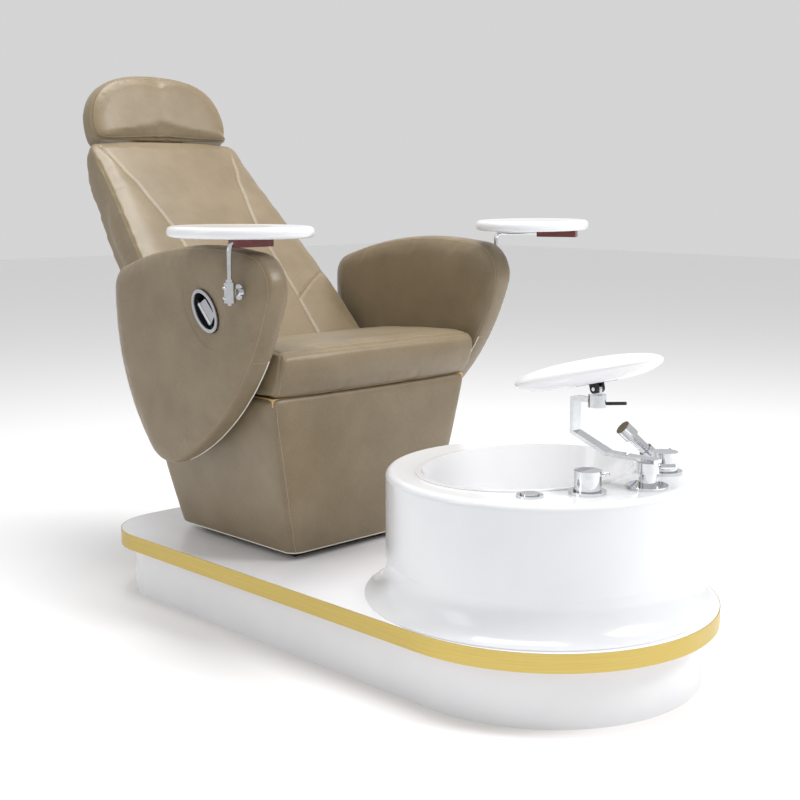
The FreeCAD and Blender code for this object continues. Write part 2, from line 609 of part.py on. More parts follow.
def make_base():
    front = size("carcass_front")
    rear = size("carcass_rear")
    middle = (front + rear) / 2
    half = size("carcass_half_width")
    board = size("board")
    depth = "Sizes.carcass_rear - Sizes.carcass_front"
    width = "Sizes.carcass_half_width * 2"
    radius = "Sizes.bolt_radius"
    plate = box(0, middle, deck_top, width, depth, "Sizes.base_gap")
    foot_z = spring_ends()[0].z
    ears = []
    for side in (-1, 1):
        x = side * (size("spring_radius") + size("strap_thickness"))
        ears.append(box(x, size("spring_foot_y"), base_bottom, "Sizes.strap_thickness",
                        "Sizes.spring_radius * 2",
                        "Sizes.spring_radius * 3 + Sizes.board"))
    pin = rod(-size("spring_radius") - size("strap_thickness"), size("spring_foot_y"), foot_z,
              "Sizes.rod_radius", "(Sizes.spring_radius + Sizes.strap_thickness) * 2",
              Vector(1, 0, 0))
    holes = [rod(x, y, deck_top - 1, radius, "Sizes.base_gap + 2") for x, y in bolt_places()]
    keep(cut(join([plate, pin] + ears), *holes), "base_plate")
    bolts = []
    for x, y in bolt_places():
        shank_z = deck_top - size("deck_skin") - size("deck_board_thickness")
        shank = rod(x, y, shank_z, radius,
                    "Sizes.deck_skin + Sizes.deck_board_thickness + Sizes.base_gap")
        head = rod(x, y, base_bottom, "Sizes.bolt_head_radius", "Sizes.bolt_head_height")
        bolts.append(join([shank, head]))
    keep(group(bolts), "base_bolts")

    low = base_bottom
    full_height = f"Sizes.seat_base_height - {low}"
    rear_height = f"Sizes.rear_base_height - {low}"
    front_depth = "Sizes.rear_step_y - Sizes.carcass_front"
    front_middle = (front + size("rear_step_y")) / 2
    rear_middle = (rear + size("rear_step_y")) / 2
    boards = []
    for side in (-1, 1):
        x = side * (half - board / 2)
        tall = box(x, front_middle, low, "Sizes.board", front_depth, full_height)
        short = box(x, rear_middle, low, "Sizes.board", "Sizes.carcass_rear - Sizes.rear_step_y",
                    rear_height)
        boards.append(cut(join([tall, short]), *arm_bolt_holes(side)))
    inside = "Sizes.carcass_half_width * 2 - Sizes.board * 2"
    boards.append(box(0, front + board / 2, low, inside, "Sizes.board", full_height))
    boards.append(cut(box(0, rear - board / 2, low, inside, "Sizes.board", rear_height),
                      fixed(spring_slot())))
    seat_front = size("base_front_top") + size("board") / 2
    boards.append(box(0, (seat_front + size("rear_step_y")) / 2, size("seat_base_height"),
                      "Sizes.seat_half_width * 2 - Sizes.board",
                      f"Sizes.rear_step_y - {seat_front}", "Sizes.board"))
    keep(group(boards), "base_carcass")

    lower = base_wire(size("base_bottom_half_width"), size("base_front_foot"),
                      size("base_rear_foot"), low)
    upper = base_wire(size("base_top_half_width"), size("base_front_top"),
                      size("base_rear_top"), size("seat_base_height"))
    form = Part.makeLoft([lower, upper], True, True)
    wide = 2 * size("base_top_half_width")
    tall = size("seat_base_height")
    step = Part.makeBox(2 * wide, wide, tall, Vector(-wide, size("rear_step_y"),
                                                      size("rear_base_height")))
    form = form.cut(step).cut(spring_slot())

    def panel(x0, x1, y0, y1):
        part = Part.makeBox(x1 - x0, y1 - y0, tall, Vector(x0, y0, 0))
        return fixed(form.common(part))

    keep(panel(-wide, wide, -wide, front), "base_panel_front")
    keep(panel(-half, half, rear, 2 * wide), "base_panel_rear")
    for name, side in (("right", -1), ("left", 1)):
        low_x = half if side > 0 else -wide
        high_x = wide if side > 0 else -half
        skin = panel(low_x, high_x, front, 2 * wide)
        keep(cut(skin, *arm_bolt_holes(side)), f"base_panel_{name}")


def make_seat():
    front = size("seat_front")
    top = seat_board_top + size("seat_front_height")
    rear = size("hinge_y")
    corners = [(front + size("seat_nose"), seat_board_top), (rear, seat_board_top),
               (rear, top - size("seat_rear_drop") * 1.2), (front, top)]
    around = rounded(corners, [size("seat_round") / 2, 0, 0, size("seat_round")])
    half = size("seat_half_width")
    cushion = prism([around], "Sizes.seat_half_width * 2", x=-half, turn=ALONG_X)
    roll = rod(-half - 1, rear, size("hinge_z"), "Sizes.roll_radius + Sizes.roll_gap",
               "Sizes.seat_half_width * 2 + 2", Vector(1, 0, 0))
    keep(cut(cushion, roll), "seat_cushion")


# Backrest. Its pieces are drawn level, with x up the back and y towards the sitter,
# and then turned to the recline angle about the hinge line.

def back_turn():
    """Maps the drawing's x to up the back, its y to the front and its z to across."""
    lean = math.radians(size("recline"))
    up = Vector(0, math.sin(lean), math.cos(lean))
    front = Vector(0, -math.cos(lean), math.sin(lean))
    across = up.cross(front)
    return Rotation(up, front, across, "XYZ"), up, front, across


def back_prism(outlines, width, half, centre=0):
    """A prism across the back, centred on an x of the chair."""
    turn, up, front, across = back_turn()
    start = Vector(0, size("hinge_y"), size("hinge_z")) - across * half
    start = start + Vector(centre, 0, 0)
    return prism(outlines, width, start.x, start.y, start.z, turn)


def make_back():
    turn, up, front, across = back_turn()
    hinge = Vector(0, size("hinge_y"), size("hinge_z"))
    roll = size("roll_radius")
    board = size("back_board_thickness")
    length = size("back_length")
    half = size("back_half_width")
    inner = size("roll_core")
    start_x = math.sqrt(inner ** 2 - board ** 2)
    diagonal = math.sqrt(0.5)
    line = [Vector(-roll, 0, 0), Vector(0, roll, 0), Vector(length, roll, 0),
            Vector(length - roll + board, board, 0), Vector(start_x, board, 0),
            Vector(-inner, 0, 0)]
    side = [Part.Arc(line[0], Vector(-roll * diagonal, roll * diagonal, 0), line[1]),
            Part.LineSegment(line[1], line[2]), Part.LineSegment(line[2], line[3]),
            Part.LineSegment(line[3], line[4]),
            Part.Arc(line[4], Vector(-inner * diagonal, inner * diagonal, 0), line[5]),
            Part.LineSegment(line[5], line[0])]
    slab = back_prism([side], "Sizes.back_half_width * 2", half)

    def plan(inset):
        """The back's outline seen from the front: narrower and rounder at the top."""
        narrow = size("back_top_half_width") - inset
        wide = half - inset
        top = length + 1
        corners = [(-roll - 1, -wide), (top, -narrow), (top, narrow), (-roll - 1, wide)]
        corner = size("back_corner")
        return rounded(corners, [0, corner, corner, 0])

    def face_prism(outline, depth, low):
        """A prism drawn as seen from the front, that starts low above the hinge line."""
        face = Rotation(up, Vector(1, 0, 0), up.cross(Vector(1, 0, 0)), "XYZ")
        forward = up.cross(Vector(1, 0, 0))
        start = hinge + front * low
        if forward.dot(front) < 0:
            start = start + front * size(depth)
        return prism([outline], f"Sizes.{depth}", start.x, start.y, start.z, face)

    mask = face_prism(plan(0), "back_length", -roll)
    keep(common(slab, mask), "back_cushion")

    low = size("back_board_start")
    high = size("back_board_end")
    board_half = size("back_top_half_width") - size("board_inset")
    corners = [(low, -board_half), (high, -board_half), (high, board_half), (low, board_half)]
    corner = size("board_corner")
    keep(face_prism(rounded(corners, [0, corner, corner, 0]), "back_board_thickness", 0),
         "back_board")

    thick = size("rear_pad_thickness")
    end = size("rear_pad_end")
    corners = [(low, -thick), (end - 4 * thick, -thick), (end - thick, -thick / 3),
               (end - size("board_corner"), 0),
               (low, 0)]
    rear = back_prism([rounded(corners, [0] * 5)], "Sizes.back_half_width * 2", half)
    rear_mask = face_prism(plan(size("rear_pad_inset")), "back_length", -roll * 2)
    slots = []
    spread = size("strap_spread")
    depth = size("strap_depth")
    slot_top = size("strap_length") + size("slot_gap")
    room = [(low - 5, -thick - 5), (slot_top, -thick - 5), (slot_top, 1), (low - 5, 1)]
    slot_width = "Sizes.strap_thickness + Sizes.bracket_gap * 4"
    slot_half = size("strap_thickness") / 2 + 2 * size("bracket_gap")
    for at in (-spread, spread):
        slots.append(back_prism([rounded(room, [0] * 4)], slot_width, slot_half, at))
    ear_top = low + size("ear_length") + 5 * size("slot_gap")
    ear_room = [(low - 5, -thick - 5), (ear_top, -thick - 5), (ear_top, 1), (low - 5, 1)]
    slots.append(back_prism([rounded(ear_room, [0] * 4)], "Sizes.spring_radius * 4",
                            2 * size("spring_radius")))
    strip_half = size("headrest_strip") / 2
    skin = size("headrest_plate") + size("slot_gap")
    strip_low = high - size("strip_overlap") - size("slot_gap")
    strip_room = [(strip_low, -skin), (end, -skin), (end, 1), (strip_low, 1)]
    slots.append(back_prism([rounded(strip_room, [0] * 4)],
                            "Sizes.headrest_strip + 2 * Sizes.slot_gap",
                            strip_half + size("slot_gap")))
    keep(cut(common(rear, rear_mask), *slots), "back_rear_pad")

    # Steel straps on the board, with the hinge bosses and the ears for the gas spring
    boss = size("hinge_boss")
    steel = []
    strap_width = "Sizes.strap_thickness"
    for at in (-spread, spread):
        bar = [(0, -depth), (size("strap_length"), -depth), (size("strap_length"), 0), (0, 0)]
        strap = back_prism([rounded(bar, [0] * 4)], strap_width, size("strap_thickness") / 2, at)
        x = at - size("strap_thickness") / 2
        eye = rod(x, hinge.y, hinge.z, "Sizes.hinge_boss", strap_width, Vector(1, 0, 0))
        bore = rod(x - 1, hinge.y, hinge.z, "Sizes.hinge_pin_radius + Sizes.running_gap",
                   "Sizes.strap_thickness + 2", Vector(1, 0, 0))
        steel.append(cut(join([strap, eye]), bore))
    arm = size("spring_arm")
    ear_line = [(low, 0), (low + size("ear_length"), 0), (boss / 2, -arm - boss / 2), (-boss / 2, -arm - boss / 2),
                (-boss / 2, -arm + boss / 2)]
    eye_room = size("spring_radius") / 2 + 1
    pins = []
    for side in (-1, 1):
        at = side * (eye_room + size("strap_thickness") / 2)
        pins.append(back_prism([rounded(ear_line, [0] * 5)], strap_width,
                               size("strap_thickness") / 2, at))
    end_point = hinge - front * arm
    pins.append(rod(-eye_room - 1, end_point.y, end_point.z, "Sizes.rod_radius",
                    f"{2 * eye_room + 2}", Vector(1, 0, 0)))
    steel.append(join(pins))
    keep(group(steel), "hinge_straps")

    # Fixed hinge brackets on the box of boards, with their pins
    brackets = []
    for side in (-1, 1):
        start = side * (size("carcass_half_width") - size("strap_thickness"))
        plate_y = hinge.y + size("hinge_pin_radius")
        standing = "Sizes.hinge_z - Sizes.rear_base_height"
        plate = box(start + side * size("strap_thickness") / 2, plate_y, size("rear_base_height"),
                    "Sizes.strap_thickness", "Sizes.hinge_boss * 2", standing)
        foot = box(start - side * size("hinge_boss"), plate_y, size("rear_base_height"),
                   "Sizes.hinge_boss * 2", "Sizes.hinge_boss * 2", "Sizes.strap_thickness")
        outwards = Vector(side, 0, 0)
        pin = rod(start, hinge.y, hinge.z, "Sizes.hinge_pin_radius",
                  "Sizes.strap_spread + Sizes.strap_thickness * 3 - Sizes.carcass_half_width",
                  outwards)
        eye = rod(start, hinge.y, hinge.z, "Sizes.hinge_boss", "Sizes.strap_thickness", outwards)
        brackets.append(join([plate, foot, pin, eye]))
    keep(group(brackets), "hinge_brackets")

    # Gas spring: a cylinder on the base plate and a rod that follows the back
    foot = spring_ends()[0]
    reach = end_point - foot
    total = reach.Length
    along = reach.normalize()
    eye_half = size("spring_radius") / 2
    eye = rod(-eye_half, foot.y, foot.z, "Sizes.spring_radius", "Sizes.spring_radius",
              Vector(1, 0, 0))
    eye_bore = rod(-eye_half * 3, foot.y, foot.z, "Sizes.rod_radius + Sizes.running_gap",
                   "Sizes.spring_radius * 3", Vector(1, 0, 0))
    barrel = rod(foot.x, foot.y, foot.z, "Sizes.spring_radius", "Sizes.spring_body", along)
    bore_start = foot + along * (size("spring_radius") * 2)
    bore = rod(bore_start.x, bore_start.y, bore_start.z, "Sizes.rod_radius + Sizes.running_gap",
               "Sizes.spring_body", along)
    keep(cut(join([eye, barrel]), eye_bore, bore), "gas_cylinder")
    rod_start = foot + along * (size("spring_body") / 2)
    ring = size("rod_radius") + size("eye_gap")
    rod_length = total - size("spring_body") / 2 - ring
    stem = rod(rod_start.x, rod_start.y, rod_start.z, "Sizes.rod_radius", f"{rod_length}", along)
    loop = rod(-eye_half, end_point.y, end_point.z, f"{ring} + Sizes.rod_radius",
               "Sizes.spring_radius", Vector(1, 0, 0))
    loop_bore = rod(-eye_half - 1, end_point.y, end_point.z, f"{ring}",
                    "Sizes.spring_radius + 2", Vector(1, 0, 0))
    keep(cut(join([stem, loop]), loop_bore), "gas_rod")

    # Headrest: a bent bracket from the back's board to a pin, and the pad on its plate
    rise = size("headrest_rise")
    ahead = size("headrest_forward")
    thin = size("headrest_plate")
    strip = [(high - size("strip_overlap"), -thin / 2), (high + size("board_inset"), -thin / 2),
             (rise, ahead)]
    bracket = back_prism([ribbon(strip, thin)], "Sizes.headrest_strip", strip_half)
    pivot = hinge + up * rise + front * ahead
    knuckle = rod(-strip_half, pivot.y, pivot.z, "Sizes.knuckle", "Sizes.headrest_strip",
                  Vector(1, 0, 0))
    pin_reach = size("lug_width") + 2 * size("slot_gap")
    pin = rod(-strip_half - pin_reach, pivot.y, pivot.z, "Sizes.headrest_pin",
              "Sizes.headrest_strip + 2 * (Sizes.lug_width + 2 * Sizes.slot_gap)",
              Vector(1, 0, 0))
    keep(join([bracket, knuckle, pin]), "headrest_bracket")
    return pivot


def make_headrest(pivot):
    lean = math.radians(size("headrest_lean"))
    up = Vector(0, math.sin(lean), math.cos(lean))
    front = Vector(0, -math.cos(lean), math.sin(lean))
    turn = Rotation(Vector(1, 0, 0), up, front, "XYZ")
    low = size("headrest_foot")
    high = low + size("headrest_height")
    half = size("headrest_half_width")
    narrow = half * 0.86
    widest = low + size("headrest_shoulder")
    corners = [(-narrow, low), (narrow, low), (half, widest), (narrow, high), (-narrow, high),
               (-half, widest)]
    big = size("headrest_corner")
    small = size("headrest_small_corner")
    outline = rounded(corners, [small, small, small, big, big, small])
    gap = size("headrest_front") - size("headrest_thickness")
    start = pivot + front * gap
    keep(prism([outline], "Sizes.headrest_thickness", start.x, start.y, start.z, turn),
         "headrest_pad")
    thin = size("headrest_plate")
    plate_start = pivot + front * (gap - thin)
    wide = narrow * 0.75
    corners = [(-wide, low), (wide, low), (wide * 0.9, high - 2 * low),
               (-wide * 0.9, high - 2 * low)]
    plate = prism([rounded(corners, [low / 2] * 4)], "Sizes.headrest_plate", plate_start.x,
                  plate_start.y, plate_start.z, turn)
    lugs = []
    lug = size("lug_width")
    for side in (-1, 1):
        middle = side * (size("headrest_strip") / 2 + lug / 2 + size("slot_gap"))
        line = [(low * 2, gap - thin / 2), (0, gap - thin / 2), (0, 0)]
        lug_turn = Rotation(up, front, up.cross(front), "XYZ")
        start = pivot - up.cross(front) * (lug / 2) + Vector(middle, 0, 0)
        arm = prism([ribbon(line, thin)], "Sizes.lug_width", start.x, start.y, start.z, lug_turn)
        eye = rod(middle - lug / 2, pivot.y, pivot.z, "Sizes.knuckle", "Sizes.lug_width",
                  Vector(1, 0, 0))
        lugs += [arm, eye]
    bore = rod(-half, pivot.y, pivot.z, "Sizes.headrest_pin + Sizes.running_gap",
               "Sizes.headrest_half_width * 2", Vector(1, 0, 0))
    keep(cut(join([plate] + lugs), bore), "headrest_plate")


# Arms: three layers each, a padded outside, a plywood core and a padded inside

def enclosing_centre(first, first_radius, second, second_radius, radius):
    """The centre of a large circle that touches two small circles from outside them."""
    a = radius - first_radius
    b = radius - second_radius
    span = second - first
    length = span.Length
    along = Vector(span).normalize()
    side = Vector(along.y, -along.x, 0)
    reach = (length ** 2 + a ** 2 - b ** 2) / (2 * length)
    return first + along * reach + side * math.sqrt(a ** 2 - reach ** 2)


def arm_outline(inset=0):
    """Drawn in (y, z): round corners at the front, the rear and the foot."""
    names = ["front", "rear", "foot"]
    centres = [Vector(size(f"arm_{n}_y"), size(f"arm_{n}_z"), 0) for n in names]
    radii = [size(f"arm_{n}_round") - inset for n in names]
    bulges = [size(f"arm_{n}_bulge") - inset for n in ("top", "rear", "front")]
    big = [enclosing_centre(centres[i], radii[i], centres[(i + 1) % 3], radii[(i + 1) % 3],
                            bulges[i]) for i in range(3)]
    starts = []
    stops = []
    for i in range(3):
        before = (centres[i] - big[i - 1]).normalize()
        after = (centres[i] - big[i]).normalize()
        starts.append(centres[i] + before * radii[i])
        stops.append(centres[i] + after * radii[i])
    outline = []
    for i in range(3):
        middle = ((starts[i] + stops[i]) * 0.5 - centres[i]).normalize()
        outline.append(Part.Arc(starts[i], centres[i] + middle * radii[i], stops[i]))
        following = starts[(i + 1) % 3]
        middle = ((stops[i] + following) * 0.5 - big[i]).normalize()
        outline.append(Part.Arc(stops[i], big[i] + middle * bulges[i], following))
    return outline


def arm_bolt_places():
    """The bolts stand in the height that the arm's foot and the base's boards share."""
    y = size("arm_foot_y")
    low = size("arm_foot_z") - size("arm_foot_round")
    tall = size("seat_base_height") - low
    short = size("rear_base_height") - low
    return [(y - size("front_bolt_reach"), low + tall * size("front_bolt_share")),
            (y + size("rear_bolt_reach"), low + short * size("rear_bolt_share")),
            (y - size("middle_bolt_reach"), low + tall * size("middle_bolt_share"))]


def make_arms():
    face = size("arm_face")
    core_face = face - size("arm_outer_layer")
    pad_face = core_face - size("arm_core_layer")
    inner_width = f"{pad_face} - Sizes.arm_inner_face"
    bolts = []
    for name, side in (("right", -1), ("left", 1)):
        def layer(low, width, inset, holes=()):
            x = low if side > 0 else -low - float(width_value(width))
            return prism([arm_outline(inset)] + list(holes), width, x=x, turn=ALONG_X)

        def width_value(width):
            probe = doc.addObject("Part::Box", "Probe")
            bind(probe, Length=width)
            doc.recompute()
            value = probe.Length.Value
            doc.removeObject(probe.Name)
            return value

        bores = [circle(size("bolt_radius"), y, z) for y, z in arm_bolt_places()]
        outer = layer(core_face, "Sizes.arm_outer_layer", 0)
        if side < 0:
            recess = cup_form("Sizes.cup_half_length", "Sizes.cup_half_width",
                              -size("arm_face") - 1, "Sizes.arm_outer_layer + 2")
            outer = cut(outer, recess)
        keep(outer, f"arm_outer_pad_{name}")
        keep(layer(pad_face, "Sizes.arm_core_layer", 4, bores), f"arm_core_{name}")
        keep(layer(size("arm_inner_face"), inner_width, 2, bores), f"arm_inner_pad_{name}")
        for y, z in arm_bolt_places():
            start = side * (size("carcass_half_width") - size("board") - 8)
            length = f"{core_face} - Sizes.carcass_half_width + Sizes.board + 8"
            shank = rod(start, y, z, "Sizes.bolt_radius", length, Vector(side, 0, 0))
            head = rod(start, y, z, "Sizes.bolt_head_radius", "8", Vector(side, 0, 0))
            bolts.append(join([shank, head]))
    keep(group(bolts), "arm_bolts")


def cup_turn():
    """Maps the drawing's x to down the cup, its y to across it and its z to the outside."""
    angle = math.radians(size("cup_turn"))
    down = Vector(0, -math.sin(angle), -math.cos(angle))
    outside = Vector(-1, 0, 0)
    return Rotation(down, outside.cross(down), outside, "XYZ"), down, outside.cross(down)


def cup_form(half_length, half_width, x, depth):
    """An oval prism at the lever's place that runs inwards from x. Sizes are expressions."""
    turn, down, across = cup_turn()
    item = doc.addObject("Part::Ellipse", "Oval")
    bind(item, MajorRadius=half_length, MinorRadius=half_width)
    place(item, x, size("cup_y"), size("cup_z"), turn)
    solid = doc.addObject("Part::Extrusion", "OvalPrism")
    solid.Base = item
    solid.DirMode = "Custom"
    solid.Dir = Vector(1, 0, 0)
    solid.Solid = True
    bind(solid, LengthFwd=depth)
    return solid


def make_lever():
    turn, down, across = cup_turn()
    face = size("arm_face")
    wall = "Sizes.cup_wall"
    outer = cup_form("Sizes.cup_half_length", "Sizes.cup_half_width", -face, "Sizes.cup_depth")
    inner = cup_form(f"Sizes.cup_half_length - {wall}", f"Sizes.cup_half_width - {wall}",
                     -face - 1, f"Sizes.cup_depth - {wall} + 1")
    cup = cut(outer, inner)
    thick = size("bezel_thickness")
    ring = cup_form("Sizes.cup_half_length + Sizes.bezel_width",
                    "Sizes.cup_half_width + Sizes.bezel_width", -face - thick,
                    "Sizes.bezel_thickness")
    hole = cup_form(f"Sizes.cup_half_length - {wall}", f"Sizes.cup_half_width - {wall}",
                    -face - thick - 1, "Sizes.bezel_thickness + 2")
    keep(cut(ring, hole), "lever_bezel")
    centre = Vector(-face, size("cup_y"), size("cup_z"))
    pin_line = centre - across * size("paddle_pin_offset") + Vector(size("paddle_depth"), 0, 0)
    inner_half = size("cup_half_length") - size("cup_wall")
    inner_wide = size("cup_half_width") - size("cup_wall")
    reach = inner_half * math.sqrt(1 - (size("paddle_pin_offset") / inner_wide) ** 2)
    start = pin_line - down * reach
    pin = rod(start.x, start.y, start.z, "Sizes.paddle_pin_radius", f"{2 * reach}", down)
    keep(join([cup, pin]), "lever_cup")
    length = size("paddle_length")
    corner = pin_line - down * (length / 2)
    knuckle = rod(corner.x, corner.y, corner.z, "Sizes.paddle_pin_radius * 1.8",
                  "Sizes.paddle_length", down)
    half = length / 2
    wide = size("paddle_width")
    outline = rounded([(-half, 0), (half, 0), (half * 0.8, wide), (-half * 0.8, wide)],
                      [0, 0, 6, 6])
    flap_x = pin_line.x - size("paddle_thickness") / 2
    flap = prism([outline], "Sizes.paddle_thickness", flap_x + size("paddle_thickness"),
                 pin_line.y, pin_line.z, turn)
    bore = rod(start.x, start.y, start.z, "Sizes.paddle_pin_radius + Sizes.running_gap",
               f"{2 * reach}", down)
    keep(cut(join([knuckle, flap]), bore), "recline_paddle")


# Trays: a clamp on each arm, a bent rod that swivels in it, a block and an oval top

def make_trays():
    brackets = []
    for name, side in (("right", -1), ("left", 1)):
        heading = math.radians(size(f"{name}_tray_heading"))
        face = side * size("arm_face")
        y = size(f"{name}_post_y")
        z = size("tray_clamp_z")
        x = face + side * size("tray_post_reach")
        outwards = Vector(side, 0, 0)
        rosette = rod(face, y, z, "Sizes.rosette_radius", "Sizes.rosette_thickness", outwards)
        neck = rod(face, y, z, "Sizes.rosette_radius / 2", "Sizes.tray_post_reach", outwards)
        clamp_z = z - size("clamp_height") / 2
        clamp = rod(x, y, clamp_z, "Sizes.clamp_size / 2", "Sizes.clamp_height")
        bore = rod(x, y, clamp_z - 1, "Sizes.tray_rod_radius + Sizes.running_gap",
                   "Sizes.clamp_height + 2")
        screws = []
        for at in (-0.25, 0.25):
            screws.append(rod(x + outwards.x * size("clamp_size") / 3, y,
                              z + at * size("clamp_height"), "Sizes.set_screw_radius",
                              "Sizes.set_screw_radius * 3", outwards))
        brackets.append(cut(join([rosette, neck, clamp] + screws), bore))

        # The rod's line: up, a bend, and level under the tray
        toward = Vector(math.cos(heading), math.sin(heading), 0)
        rod_heading = math.radians(size(f"{name}_rod_heading"))
        along = Vector(math.cos(rod_heading), math.sin(rod_heading), 0)
        block_start = size(f"{name}_block_start")
        bend = size("tray_rod_bend")
        level = size("tray_rod_z")
        foot = Vector(x, y, clamp_z - 6)
        low = Vector(x, y, level - bend)
        corner = Vector(x, y, level)
        after = corner + along * bend
        middle = corner + (along - Vector(0, 0, 1)) * (bend * (1 - math.sqrt(0.5)))
        end = corner + along * (block_start + size("tray_block_length") * 0.9)
        path = Part.Wire([Part.LineSegment(foot, low).toShape(),
                          Part.Arc(low, middle, after).toShape(),
                          Part.LineSegment(after, end).toShape()])
        section = Part.Wire([Part.Circle(foot, Vector(0, 0, 1),
                                         size("tray_rod_radius")).toShape()])
        bar = path.makePipeShell([section], True, True)
        stop = Part.makeCylinder(size("tray_rod_radius") * 1.8, 6,
                                 Vector(x, y, clamp_z + size("clamp_height")
                                        + size("running_gap")))
        keep(fixed(bar.fuse(stop)), f"tray_rod_{name}")
        half = size("tray_block_length") / 2
        wide = size("tray_block_width") / 2
        block_turn = Rotation(Vector(0, 0, 1), size(f"{name}_rod_heading"))
        block_at = corner + along * (block_start + half)
        block = prism([rounded([(-half, -wide), (half, -wide), (half, wide), (-half, wide)],
                               [4] * 4)],
                      "Sizes.tray_block_height", block_at.x, block_at.y,
                      level - size("tray_block_height") / 2, block_turn)
        keep(cut(block, fixed(bar)), f"tray_block_{name}")
        turn = Rotation(Vector(0, 0, 1), math.degrees(heading))
        top_at = corner + toward * size(f"{name}_tray_reach")
        keep(prism([oval(size("tray_half_length"), size("tray_half_width"))],
                   "Sizes.tray_thickness", top_at.x, top_at.y,
                   level + size("tray_block_height") / 2, turn), f"tray_{name}")
    keep(group(brackets), "tray_brackets")


make_platform()
make_tub_shell()
make_basin()
make_rim_fittings()
make_footrest()
make_base()
make_seat()
make_headrest(make_back())
make_arms()
make_lever()
make_trays()
doc.recompute()

faults = [item.Name for item in doc.Objects if {"Invalid", "Error"} & set(item.State)]
faults += [item.Label for item in nodes if item.Shape.isNull() or not item.Shape.isValid()]
if faults:
    raise SystemExit(f"not written, these are not sound: {faults}")
os.makedirs("parts", exist_ok=True)
for item in nodes:
    item.Shape.exportStep(f"parts/{item.Label}.step")
print(len(nodes), "sub-parts written")
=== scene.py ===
import math
import random

import bmesh
import bpy
from mathutils import Matrix, Vector
from mathutils.bvhtree import BVHTree
from mathutils.geometry import tessellate_polygon
from mathutils.kdtree import KDTree


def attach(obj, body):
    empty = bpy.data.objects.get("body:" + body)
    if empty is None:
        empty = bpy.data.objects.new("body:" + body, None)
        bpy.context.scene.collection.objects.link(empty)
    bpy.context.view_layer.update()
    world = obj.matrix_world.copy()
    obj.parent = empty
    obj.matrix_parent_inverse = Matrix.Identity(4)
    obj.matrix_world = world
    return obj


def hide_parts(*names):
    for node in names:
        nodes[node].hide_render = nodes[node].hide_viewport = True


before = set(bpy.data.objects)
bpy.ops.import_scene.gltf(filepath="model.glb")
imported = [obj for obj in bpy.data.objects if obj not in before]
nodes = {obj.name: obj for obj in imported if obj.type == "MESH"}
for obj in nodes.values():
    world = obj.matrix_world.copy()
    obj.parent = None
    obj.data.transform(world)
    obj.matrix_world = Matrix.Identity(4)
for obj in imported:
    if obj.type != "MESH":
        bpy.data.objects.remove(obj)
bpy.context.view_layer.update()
scene = bpy.context.scene
random.seed(7)
mm = 0.001  # millimetres to metres
clothFrames = 20  # time that the stuffing takes to settle


# Camera: a 60 mm lens at eye height, in front of the chair and to the sitter's right

def addCamera(spec):
    data = bpy.data.cameras.new("camera")
    data.lens = spec["lens"]
    data.sensor_width = 36
    data.clip_end = 50
    camera = bpy.data.objects.new("camera", data)
    camera.location = spec["place"]
    camera.rotation_euler = (math.radians(90 - spec["down"]), 0, math.radians(spec["turn"]))
    scene.collection.objects.link(camera)
    scene.camera = camera


addCamera({"lens": 59.81, "place": (-2.15185, -2.18374, 1.05245), "down": 9.449, "turn": -44.06})


# Materials

def linear(code):
    channels = [int(code[i:i + 2], 16) / 255 for i in (1, 3, 5)]
    flat = [c / 12.92 if c <= 0.04045 else ((c + 0.055) / 1.055) ** 2.4 for c in channels]
    return (*flat, 1)


def addNode(tree, kind, settings=None, links=None):
    item = tree.nodes.new(kind)
    for name, value in (settings or {}).items():
        if isinstance(name, int) or name in item.inputs:
            item.inputs[name].default_value = value
        else:
            setattr(item, name, value)
    for name, source in (links or {}).items():
        tree.links.new(source, item.inputs[name])
    return item


def startMaterial(name, settings):
    material = bpy.data.materials.new(name)
    material.use_nodes = True
    tree = material.node_tree
    shader = tree.nodes["Principled BSDF"]
    for key, value in settings.items():
        shader.inputs[key].default_value = value
    return material, tree, shader


def ramp(tree, source, stops):
    item = addNode(tree, "ShaderNodeValToRGB", links={"Fac": source})
    elements = item.color_ramp.elements
    while len(elements) < len(stops):
        elements.new(0.5)
    for element, (at, colour) in zip(elements, stops):
        element.position = at
        element.color = colour if len(colour) == 4 else (*colour, 1)
    return item.outputs["Color"]


def toBump(tree, shader, height, strength, distance, under=None):
    links = {"Height": height}
    if under:
        links["Normal"] = under
    bump = addNode(tree, "ShaderNodeBump", {"Strength": strength, "Distance": distance}, links)
    tree.links.new(bump.outputs["Normal"], shader.inputs["Normal"])
    return bump.outputs["Normal"]


